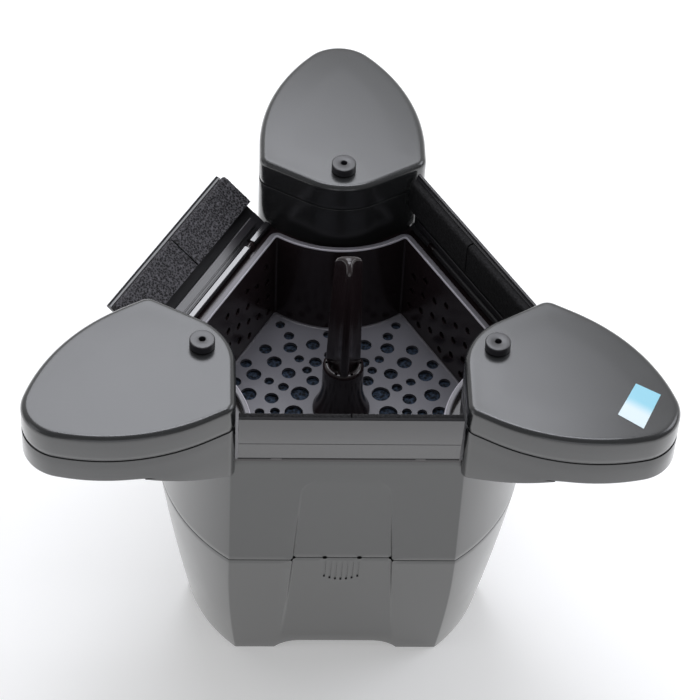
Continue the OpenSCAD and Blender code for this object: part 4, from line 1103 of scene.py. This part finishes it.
def make_flap(name, direction, tilt):
    """A flap: a plate with its bar, ribs and hinge barrel, drawn as one profile; two notches leave room for
    the hinge clips behind its outer skin."""
    s = sizes("flaps")
    half, h, start = mm(s.half_length), mm(s.height), mm(s.pad_start)
    flap = along("weir_flap_plate_" + name, flap_profile()[::-1], -half, half)
    for t in clip_places():
        t0, t1 = t - CLIP_W / 2 - CLIP_PLAY, t + CLIP_W / 2 + CLIP_PLAY
        cut(flap, block("notch", (-8, t0, -6), (BARREL_R - 0.75, t1, 5.5)))
        cut(flap, block("notch", (BARREL_R - 1.5, t0, -6), (6, t1, 0)))
    for side in (-1, 1):
        t0, t1 = sorted((side * (half - BAR_SHORT), side * (half + 1)))
        cut(flap, block("bar_end", (-9, t0, 4.05), (INNER - 0.05, t1, start - 0.3)))
    cut(flap, move(peg("bore", ROD_R + 0.06, -half - 2, half + 2, 32), spin(90, "X")))
    move(flap, flap_place(direction, tilt))
    smooth(flap, 30)
    finish_piece(flap, "flap", "weir_flap_" + name, "flap_plastic", "flap_" + name)
    back = flap_place(direction, tilt).inverted()
    land_at = BARREL_R * math.cos(math.radians(LAND_HALF))

    def choose(face):
        """The land is polished. The strip under the foam, the barrel's underside and the top edge, on the
        right flap only along its inner side, get the dull ABS at half its tone: painted shade."""
        p = back @ face.center / MM
        on_land = p.x < 0 and p.z < 4 and abs(math.hypot(p.x, p.z) - land_at) < 0.4
        under_foam = p.x < INNER + 0.6 and BAR_TOP - 0.15 < p.z < start
        underside = p.z < 1.6 and p.x > -1
        top_edge = p.z > h - 1.7 and (p.x < INNER + 0.2 or name != "right")
        if on_land:
            return 1
        return 2 if under_foam or underside or top_edge else 0
    # the second kind is painted shade: a darker, dull copy of the flap's ABS
    paint(flap, ("land", "matt"), choose)


def make_pads(name, direction, tilt):
    """The two foam pads on a flap's inner side: cut foam, straight-edged and full of open pores, meeting at a
    seam."""
    s = sizes("flaps")
    half = mm(s.half_length)
    face_x = INNER - mm(s.pad_depth)
    z0, z1 = mm(s.pad_start), mm(s.height) - 4.0
    pads = []
    for side in (-1, 1):
        t0, t1 = sorted((side * PAD_SEAM, side * half))
        pad = block("flap_pad", (face_x + 0.3, t0, z0 + 0.2), (INNER, t1, z1 - 0.2))
        bm = edit(pad)
        for e in bm.edges:
            if all(v.co.x < (face_x + 1) * MM and v.co.z > (z1 - 1) * MM for v in e.verts):
                e.select = True
        bmesh.update_edit_mesh(pad.data)
        bpy.ops.mesh.bevel(offset=PAD_BEVEL * MM, segments=3, affect="EDGES")
        done(pad)
        # cells of about 1.3 mm, so that each open pore has a dent of its own
        for axis, cuts in ((1, 72), (2, 27), (0, 6)):
            slice_evenly(pad, axis, cuts)
        pads.append(pad)
    foam_pad = call(join(*pads), "flap_foam_" + name)
    dent(foam_pad, "pad_pores", PAD_PORE, 0.7, 0.25)
    move(foam_pad, flap_place(direction, tilt))
    smooth(foam_pad, 60)
    # the left flap's foam keeps its own tone, the others' is darkened: painted shade
    finish_piece(foam_pad, "pad" if name == "left" else "pad_shaded", "weir_flap_" + name, "pad_foam",
                 "flap_pads_" + name)


def slice_evenly(obj, axis, cuts):
    """Cuts obj across into equal slices along one axis with bisect."""
    bm = edit(obj)
    lo, hi = (limit(v.co[axis] for v in bm.verts) for limit in (min, max))
    normal = [0.0, 0.0, 0.0]
    normal[axis] = 1.0
    for k in range(1, cuts):
        where = [0.0, 0.0, 0.0]
        where[axis] = lo + (hi - lo) * k / cuts
        bm = bmesh.from_edit_mesh(obj.data)
        geom = list(bm.verts) + list(bm.edges) + list(bm.faces)
        bmesh.ops.bisect_plane(bm, geom=geom, plane_co=where, plane_no=normal, dist=1e-7)
        bmesh.update_edit_mesh(obj.data)
    done(obj)


def dent(obj, name, pore_mm, deep_mm, level):
    """Presses pores of this size and depth into obj."""
    tex = bpy.data.textures.get(name) or bpy.data.textures.new(name, "VORONOI")
    tex.noise_scale = pore_mm * MM
    tex.noise_intensity = 1.0
    modify(obj, "DISPLACE", texture=tex, strength=-deep_mm * MM, mid_level=level, texture_coords="LOCAL")


def make_clips(name, direction):
    """The two fixed clips that hold a flap's rod: a round eye on a foot that stands on the deck."""
    foot = [(-4.1, -3.2), (-4.1, CLIP_FOOT), (0.9, CLIP_FOOT), (0.9, -2.6)]
    profile = arc((0, 0), CLIP_R, -60, 180, 24) + foot
    pair = []
    for t in clip_places():
        clip = along("clip", profile[::-1], t - CLIP_W / 2, t + CLIP_W / 2)
        bore = move(peg("bore", ROD_R + 0.03, t - 8, t + 8, 32), spin(90, "X"))
        pair.append(cut(clip, move(bore, shift(0, 2 * t, 0))))
    clips = call(join(*pair), "hinge_clip_pair_" + name)
    soften(clips, 0.3, 2, 50)
    move(clips, flap_place(direction, 0.0))
    smooth(clips, 35)
    finish_piece(clips, "basket", "housing", "black_plastic", "hinge_clips_" + name)


# ---------------------------------------------------------------- basket

def basket_ring(z, grow):
    return at_z(basket_outline(z, grow), z)


def basket_wall():
    """The basket's skin: up the outside, over the rolled rim, down the inside, and a fillet at the floor."""
    wall = mm(sizes("basket").wall)

    def lip(grow, z):
        """A ring of the rim, which stands on the outline at the deck."""
        return at_z(basket_outline(DECK_Z, grow), z)
    rings = [basket_ring(FLOOR_TOP, 0), basket_ring(DECK_Z - 1.2, 0), lip(0.8, DECK_Z - 0.2),
             lip(LIP - 0.8, DECK_Z + 0.02), lip(LIP - 0.1, DECK_Z + 0.3), lip(LIP, DECK_Z + 0.9),
             lip(LIP, RIM_Z - RIM_EDGE)]
    rings += [lip(LIP - RIM_EDGE * drawn, RIM_Z - RIM_EDGE * (1 - risen))
              for drawn, risen in quarter_round(6, 1)]
    rings += [at_z(basket_outline(RIM_Z, RIM_INNER_EDGE * (1 - risen) - wall), RIM_Z - RIM_INNER_EDGE * drawn)
              for drawn, risen in quarter_round(6)]
    rings += [at_z(basket_outline(FLOOR_TOP, -wall - FILLET * drawn), FLOOR_TOP + FILLET * (1 - risen))
              for drawn, risen in quarter_round(4)]
    return ring_tube("leaf_basket_wall", rings)


def screen_holes(direction):
    """A tool that perforates one flat side in staggered columns, laid along the side's lean."""
    s = sizes("basket")
    lean = math.atan(mm(s.flat_lean) / (RIM_Z - BASKET_Z))
    low = (FLOOR_TOP + SCREEN_MARGIN - RIM_Z) / math.cos(lean)
    high = (DECK_Z - 4 - SCREEN_MARGIN - RIM_Z) / math.cos(lean)
    d, col, row = mm(s.hole_diameter), mm(s.hole_column), mm(s.hole_row)
    rows = int((high - low - d - 2) / row) + 1
    cols = int((SCREEN_LENGTH - d - 2) / col) + 1
    pegs = []
    for i in range(cols):
        for j in range(i % 2, rows, 2):
            hole = move(peg("hole", d / 2, -8, 6, 24), spin(90, "Y"))
            across, up = (i - (cols - 1) / 2) * col, (low + high) / 2 + (j - (rows - 1) / 2) * row
            pegs.append(move(hole, shift(0, across, up)))
    return move(join(*pegs), spin(direction, "Z") @ shift(mm(s.well_at) - BASKET_PLAY, 0, RIM_Z)
                @ Matrix.Rotation(lean, 4, "Y"))


def make_basket():
    """The leaf basket's walls and rolled rim; the flat sides are perforated."""
    body = basket_wall()
    for direction in FLAPS.values():
        cut(body, screen_holes(direction))
    smooth(body, 35)
    finish_piece(body, "basket", "basket", "black_plastic", "basket_frame", *of_each("basket_screen", FLAPS))

    def choose(face):
        """The rim and the fillet are satin, the walls between them polished; the rim's inner edge is paler: a
        painted highlight.
        """
        z, up = face.center.z / MM, face.normal.z
        inward = face.normal.x * face.center.x + face.normal.y * face.center.y < 0
        on_rim = z > RIM_Z - 1.7
        # painted highlight on the rim's rounded inner edge
        if on_rim and inward and 0.3 < up < 0.99:
            return 2
        return 1 if on_rim or (z < FLOOR_TOP + 1.4 and up > 0.1) else 0
    paint(body, ("rim", "rim_highlight"), choose)


def make_floor():
    """The basket's floor: a plate with round water holes of many sizes, each with a rounded edge."""
    plate = loft("leaf_basket_floor", [basket_ring(BASKET_Z, 0), basket_ring(FLOOR_TOP, 0)])
    pegs = [peg("hole", d / 2, BASKET_Z - 2, FLOOR_TOP + 2, 28, (side * x, y))
            for x, y, d in FLOOR_HOLES for side in (-1, 1)]
    cut(plate, *pegs)
    soften(plate, 0.7, 2, 50)
    smooth(plate, 60)
    modify(plate, "WEIGHTED_NORMAL", keep_sharp=True, weight=100)
    finish_piece(plate, "floor", "basket", "black_plastic", "basket_floor")


def grip_section(reach, tip, flute, z):
    """Three fins with round tips of radius tip, and between them round flutes down to the radius flute."""
    far = ((reach - tip) ** 2 - (tip - flute) ** 2) / ((reach - tip) - 2 * (flute - tip))
    x, y = far / 2, far * math.sin(math.radians(60))
    meet = math.degrees(math.atan2(y, x - (reach - tip)))
    end = math.degrees(math.atan2(-y, reach - tip - x))
    half = arc((reach - tip, 0), tip, 0, meet, 8) + arc((x, y), far - flute, end, -120, 7)[1:]
    side = [(x, -y) for x, y in half[:0:-1]] + half[:-1]
    return all_round(at_z(side, z), sorted(FLAPS.values()))


def make_grip():
    """The upright grip: three slender fins that draw in towards a top with round ridges."""
    z0, z1 = FLOOR_TOP + COLLAR_H, RIM_Z + GRIP_H
    reach, tip, flute = GRIP_HIGH
    crest = tip - 0.35

    def sunk(x, y):
        """How far the domed top lies below its middle."""
        return GRIP_DOME - math.sqrt(GRIP_DOME * GRIP_DOME - x * x - y * y)
    rings = []
    top = z1 - crest - sunk(reach, 0) - 1.5
    for k in range(0, 15):
        u = k / 14
        section = [a + (b - a) * u ** 1.3 for a, b in zip(GRIP_LOW, GRIP_HIGH)]
        rings.append(grip_section(*section, z0 + (top - z0) * u))
    rings.append([(x, y, z1 - crest - sunk(x, y)) for x, y, z in rings[-1]])
    for drawn, risen in quarter_round(8, 1):
        d = crest * drawn
        rings.append([(x, y, z1 - crest * (1 - risen) - sunk(x, y))
                      for x, y, z in grip_section(reach - d, tip - d, flute - d, 0)])
    last = rings[-1]
    for k in (0.8, 0.6, 0.4, 0.2):
        rings.append([(x * k, y * k, z1 - sunk(x * k, y * k)) for x, y, z in last])
    grip = loft("basket_grip", rings)
    smooth(grip, 50)
    finish_piece(grip, "basket", "basket", "black_plastic", "grip")


def make_socket():
    """The grip's socket: a flared foot, and a straight collar with a round lip and small holes beside the
    ridges."""
    h, r, lip = COLLAR_H, COLLAR_R, COLLAR_LIP
    rise, flare = FLARE_H - FLARE_FOOT, FLARE_R - r
    q = (flare ** 2 + rise ** 2) / (2 * flare)
    start = 180 + math.degrees(math.asin(rise / q))
    profile = [(FLARE_R - 0.8, 0.0), (FLARE_R - 0.1, 0.3), (FLARE_R, 1.0)]
    profile += arc((r + q, FLARE_H), q, start, 180, 14) + [(r, 45), (r, h - lip)]
    profile += arc((r - lip, h - lip), lip, 0, 90, 8)[1:]
    profile += [(13.2, h), (12.6, h - 0.4), (12.5, h - 1.2), (12.5, h - 14)]
    socket = loft("basket_grip_socket", [circle(x, FLOOR_TOP + z, 96) for x, z in profile])
    top = FLOOR_TOP + h
    turns = [d + side * COLLAR_HOLE_TURN for d in FLAPS.values() for side in (-1, 1)]
    pegs = [peg("hole", COLLAR_HOLE_R, top - 6, top + 4, 16, polar(COLLAR_HOLE_AT, a)) for a in turns]
    cut(socket, *pegs)
    smooth(socket, 40)
    finish_piece(socket, "basket", "basket", "black_plastic", "grip_socket")


def make_filter():
    """The filter foam under the basket: a cut block with soft edges and open pores all over."""
    lo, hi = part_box("filter_foam")
    z0, z1 = mm(lo.z), mm(hi.z)
    s = sizes("basket")
    plan = well_outline(mm(s.well_at) - mm(s.flat_lean) - FILTER_PLAY,
                        mm(s.scallop_at) - mm(s.scallop_lean) - FILTER_PLAY, mm(s.scallop_radius), 9)
    # scale of the outline and height, up the block
    rows = ((0.985, z0 + 0.4), (0.995, z0 + 1.4), (0.995, z1 - 2.0), (0.985, z1 - 0.9))
    foam_block = loft("filter_block", [[(x * k, y * k, z) for x, y in plan] for k, z in rows])
    modify(foam_block, "REMESH", mode="VOXEL", voxel_size=FILTER_CELL * MM)
    dent(foam_block, "filter_pores", FILTER_PORE, 1.6, 0.4)
    smooth(foam_block, 60)
    finish_piece(foam_block, "filter", "foam", "filter_foam", "filter_foam")


# ---------------------------------------------------------------- the stage

CAMERA_TARGET = Vector((0, 0, 0.376))
CAMERA_SIDE, CAMERA_HIGH, CAMERA_ROLL = -3.87, 45.86, 3.28     # in degrees; side goes from -Y towards +X
CAMERA_DISTANCE = 2.613                      # in metres
CAMERA_LENS, SENSOR, CLIP_END = 154.3, 36.0, 50.0
AIM_RIGHT, AIM_DOWN = 2.2 / 3000, 62 / 3000  # slopes by which the view's middle misses the target
STAGE_SIZE, STAGE_BACK = 16, 1.5             # the floor's sides and how far back its middle is, in metres
FLOOR_SEEN, FLOOR_MIRRORED = 0.3, 0.96       # the floor's own light for the camera and in reflections
ROOM_FRONT, ROOM_BEHIND = 0.26, 0.9          # radiance of the surround
SOFTBOX_TINT = (0.96, 0.98, 1.05)
# Softboxes: name, place, target, width, height (m) and radiance; one without a height is round
SOFTBOXES = (
    ("softbox_behind", (-0.21, 1.78, 2.82), (-0.21, -0.34, 0.7), 1.66, 0, 3.65),
    ("softbox_above", (0.0, 0.35, 2.3), (0, 0.1, 0.2), 1.2, 0.5, 7.0),
    ("softbox_left", (-2.6, -0.7, 1.0), (0, 0, 0.2), 1.2, 1.8, 0.9),
    ("softbox_right", (2.35, 0.55, 2.1), (0, 0, 0.3), 1.5, 1.3, 3.2),
    ("softbox_front", (0.0, -3.2, 0.9), (0, 0, 0.2), 2.4, 1.2, 0.95),
)


def make_camera():
    """The camera stands in front and above, a little rolled, and aims just off its target."""
    side, high, roll = (math.radians(a) for a in (CAMERA_SIDE, CAMERA_HIGH, CAMERA_ROLL))
    back = Vector((math.sin(side) * math.cos(high), -math.cos(side) * math.cos(high), math.sin(high)))
    level = (-back).cross(Vector((0, 0, 1))).normalized()
    up = level.cross(-back)
    right = level * math.cos(roll) + up * math.sin(roll)
    up = -level * math.sin(roll) + up * math.cos(roll)
    aim = (-back + right * AIM_RIGHT - up * AIM_DOWN).normalized()
    right = (right - aim * right.dot(aim)).normalized()
    up = right.cross(aim)
    data = bpy.data.cameras.new("camera")
    data.lens, data.sensor_width, data.clip_end = CAMERA_LENS, SENSOR, CLIP_END
    cam = bpy.data.objects.new("camera", data)
    cam.matrix_world = Matrix((right, up, -aim)).transposed().to_4x4()
    cam.location = CAMERA_TARGET + back * CAMERA_DISTANCE
    bpy.context.scene.collection.objects.link(cam)
    bpy.context.scene.camera = cam


def area_light(name, place, target, width, height, radiance):
    """A softbox of a set size, whose face has that radiance."""
    data = bpy.data.lights.new(name, "AREA")
    data.shape, data.size = "RECTANGLE" if height else "DISK", width
    if height:
        data.size_y = height
    area = width * height if height else math.pi * (width / 2) ** 2
    data.energy = radiance * area * math.pi
    data.color = SOFTBOX_TINT
    lamp = bpy.data.objects.new(name, data)
    place, target = Vector(place), Vector(target)
    turned = (target - place).to_track_quat("-Z", "Y").to_matrix().to_4x4()
    lamp.matrix_world = Matrix.Translation(place) @ turned
    bpy.context.scene.collection.objects.link(lamp)


def floor_paper():
    """Pale paper that shows white to the camera and in reflections, and keeps the object's shade."""
    m, t, _ = new_material("studio_floor_paper")
    ground = bpy.context.scene.skimmer_colours.ground
    paper = add(t, "BsdfPrincipled", {"Base Color": (*ground, 1), "Roughness": 0.8,
                                      "Specular IOR Level": 0.2})
    path = add(t, "LightPath").outputs
    mirrored = add(t, "Math", {"operation": "MAXIMUM"},
                   {0: path["Is Glossy Ray"], 1: path["Is Transmission Ray"]})
    bright = add(t, "Math", {"operation": "MULTIPLY", 1: FLOOR_MIRRORED}, {0: mirrored.outputs["Value"]})
    strength = add(t, "Math", {"operation": "MULTIPLY_ADD", 1: FLOOR_SEEN},
                   {0: path["Is Camera Ray"], 2: bright.outputs["Value"]})
    glow = add(t, "Emission", {"Color": WHITE}, {"Strength": strength.outputs["Value"]})
    lit = add(t, "AddShader", None, {0: paper.outputs["BSDF"], 1: glow.outputs["Emission"]})
    add(t, "OutputMaterial", None, {"Surface": lit.outputs["Shader"]})
    return m


def make_floor_plane():
    pick_nothing()
    bpy.ops.mesh.primitive_plane_add(size=1.0)
    floor = call(bpy.context.object, "studio_floor")
    for v in floor.data.vertices:
        v.co = Vector((v.co.x * STAGE_SIZE, v.co.y * STAGE_SIZE + STAGE_BACK, 0.0))
    floor.data.materials.append(floor_paper())


def make_surround():
    """White to the camera; for the light it gives, a pale backdrop behind and a dim room in front."""
    world = bpy.data.worlds.new("studio")
    bpy.context.scene.world = world
    world.use_nodes = True
    t = world.node_tree
    t.nodes.clear()
    part = add(t, "SeparateXYZ", None, {"Vector": add(t, "TexCoord").outputs["Generated"]})
    behind = spread(t, part.outputs["Y"], ROOM_FRONT, ROOM_BEHIND, from_min=-0.2, from_max=0.8)
    behind.node.interpolation_type = "SMOOTHSTEP"
    soft = add(t, "Background", {"Color": WHITE}, {"Strength": behind})
    white = add(t, "Background", {"Color": WHITE, "Strength": 1.0})
    mix = add(t, "MixShader", None, {0: add(t, "LightPath").outputs["Is Camera Ray"],
                                     1: soft.outputs["Background"], 2: white.outputs["Background"]})
    add(t, "OutputWorld", None, {"Surface": mix.outputs["Shader"]})


def make_stage():
    """Pale floor, white surround, and soft lights behind, above and at the sides."""
    make_floor_plane()
    make_surround()
    for softbox in SOFTBOXES:
        area_light(*softbox)
    bpy.context.scene.view_settings.view_transform = "Standard"


# ---------------------------------------------------------------- operators, panel and run

class SKIMMER_OT_base(bpy.types.Operator):
    """Gives every carried-over CAD piece its moulded, foam, rubber or steel finish"""
    bl_idname = "skimmer.finish_nodes"
    bl_label = "Finish the carried-over pieces"

    def execute(self, context):
        make_materials()
        left = set(frame["nodes"])
        for kind, names in NODE_MATERIALS.items():
            for name in names:
                obj = frame["nodes"][name]
                if not obj.material_slots:
                    obj.data.materials.append(None)
                for slot in obj.material_slots:
                    slot.link = "OBJECT"
                    slot.material = MATERIALS[kind]
                left.discard(name)
        if left:
            raise RuntimeError("no finish for " + ", ".join(sorted(left)))
        return {"FINISHED"}


class SKIMMER_OT_floats(bpy.types.Operator):
    """Draws the three floats: covers, shells and feet"""
    bl_idname = "skimmer.floats"
    bl_label = "Floats"

    def execute(self, context):
        for name, direction in FLOATS.items():
            make_cover(name, direction)
            make_shell(name, direction)
            make_foot(name, direction)
        return {"FINISHED"}


class SKIMMER_OT_plugs(bpy.types.Operator):
    """Draws the three filler plugs"""
    bl_idname = "skimmer.plugs"
    bl_label = "Filler plugs"

    def execute(self, context):
        for name, direction in FLOATS.items():
            make_plug(name, direction)
        return {"FINISHED"}


class SKIMMER_OT_label(bpy.types.Operator):
    """Lays the blank label on the right float"""
    bl_idname = "skimmer.label"
    bl_label = "Blank label"

    def execute(self, context):
        make_label()
        return {"FINISHED"}


class SKIMMER_OT_housings(bpy.types.Operator):
    """Draws the lower and the upper housing"""
    bl_idname = "skimmer.housings"
    bl_label = "Housings"

    def execute(self, context):
        make_lower_housing()
        make_upper_housing()
        return {"FINISHED"}


class SKIMMER_OT_flaps(bpy.types.Operator):
    """Draws the three weir flaps with their foam pads and hinge clips"""
    bl_idname = "skimmer.flaps"
    bl_label = "Weir flaps"

    def execute(self, context):
        s = sizes("flaps")
        tilts = {"front": s.front_tilt, "right": s.right_tilt, "left": s.left_tilt}
        for name, direction in FLAPS.items():
            make_flap(name, direction, tilts[name])
            make_pads(name, direction, tilts[name])
            make_clips(name, direction)
        return {"FINISHED"}


class SKIMMER_OT_basket(bpy.types.Operator):
    """Draws the leaf basket with its floor, socket and grip"""
    bl_idname = "skimmer.basket"
    bl_label = "Leaf basket"

    def execute(self, context):
        make_basket()
        make_floor()
        make_socket()
        make_grip()
        return {"FINISHED"}


class SKIMMER_OT_filter(bpy.types.Operator):
    """Draws the filter foam under the basket"""
    bl_idname = "skimmer.filter"
    bl_label = "Filter foam"

    def execute(self, context):
        make_filter()
        return {"FINISHED"}


class SKIMMER_OT_stage(bpy.types.Operator):
    """Sets up the floor, the lights and the camera"""
    bl_idname = "skimmer.stage"
    bl_label = "Stage"

    def execute(self, context):
        make_camera()
        make_stage()
        return {"FINISHED"}


class SKIMMER_PT_panel(bpy.types.Panel):
    bl_label = "Pond skimmer"
    bl_idname = "SKIMMER_PT_panel"
    bl_space_type = "VIEW_3D"
    bl_region_type = "UI"
    bl_category = "Skimmer"

    def draw(self, context):
        layout = self.layout
        for title, kind in (("Floats", "floats"), ("Housings", "housing"), ("Weir flaps", "flaps"),
                            ("Basket", "basket"), ("Colours", "colours")):
            box = layout.box()
            box.label(text=title)
            group = getattr(context.scene, "skimmer_" + kind)
            for prop in group.__annotations__:
                box.prop(group, prop)
        column = layout.column(align=True)
        for op in OPERATORS:
            column.operator(op.bl_idname)


GROUPS = {"floats": FloatSizes, "housing": HousingSizes, "flaps": FlapSizes, "basket": BasketSizes,
          "colours": SkimmerColours}
OPERATORS = (SKIMMER_OT_stage, SKIMMER_OT_base, SKIMMER_OT_floats, SKIMMER_OT_plugs, SKIMMER_OT_label,
             SKIMMER_OT_housings, SKIMMER_OT_flaps, SKIMMER_OT_basket, SKIMMER_OT_filter)


def register():
    for cls in (*GROUPS.values(), *OPERATORS, SKIMMER_PT_panel):
        bpy.utils.register_class(cls)
    for name, cls in GROUPS.items():
        setattr(bpy.types.Scene, "skimmer_" + name, bpy.props.PointerProperty(type=cls))


def unregister():
    for name in GROUPS:
        delattr(bpy.types.Scene, "skimmer_" + name)
    for cls in (SKIMMER_PT_panel, *reversed(OPERATORS), *reversed(list(GROUPS.values()))):
        bpy.utils.unregister_class(cls)


def main():
    register()
    for op in OPERATORS:
        family, name = op.bl_idname.split(".")
        getattr(getattr(bpy.ops, family), name)()
    pick_nothing()


if __name__ == "__main__":
    main()
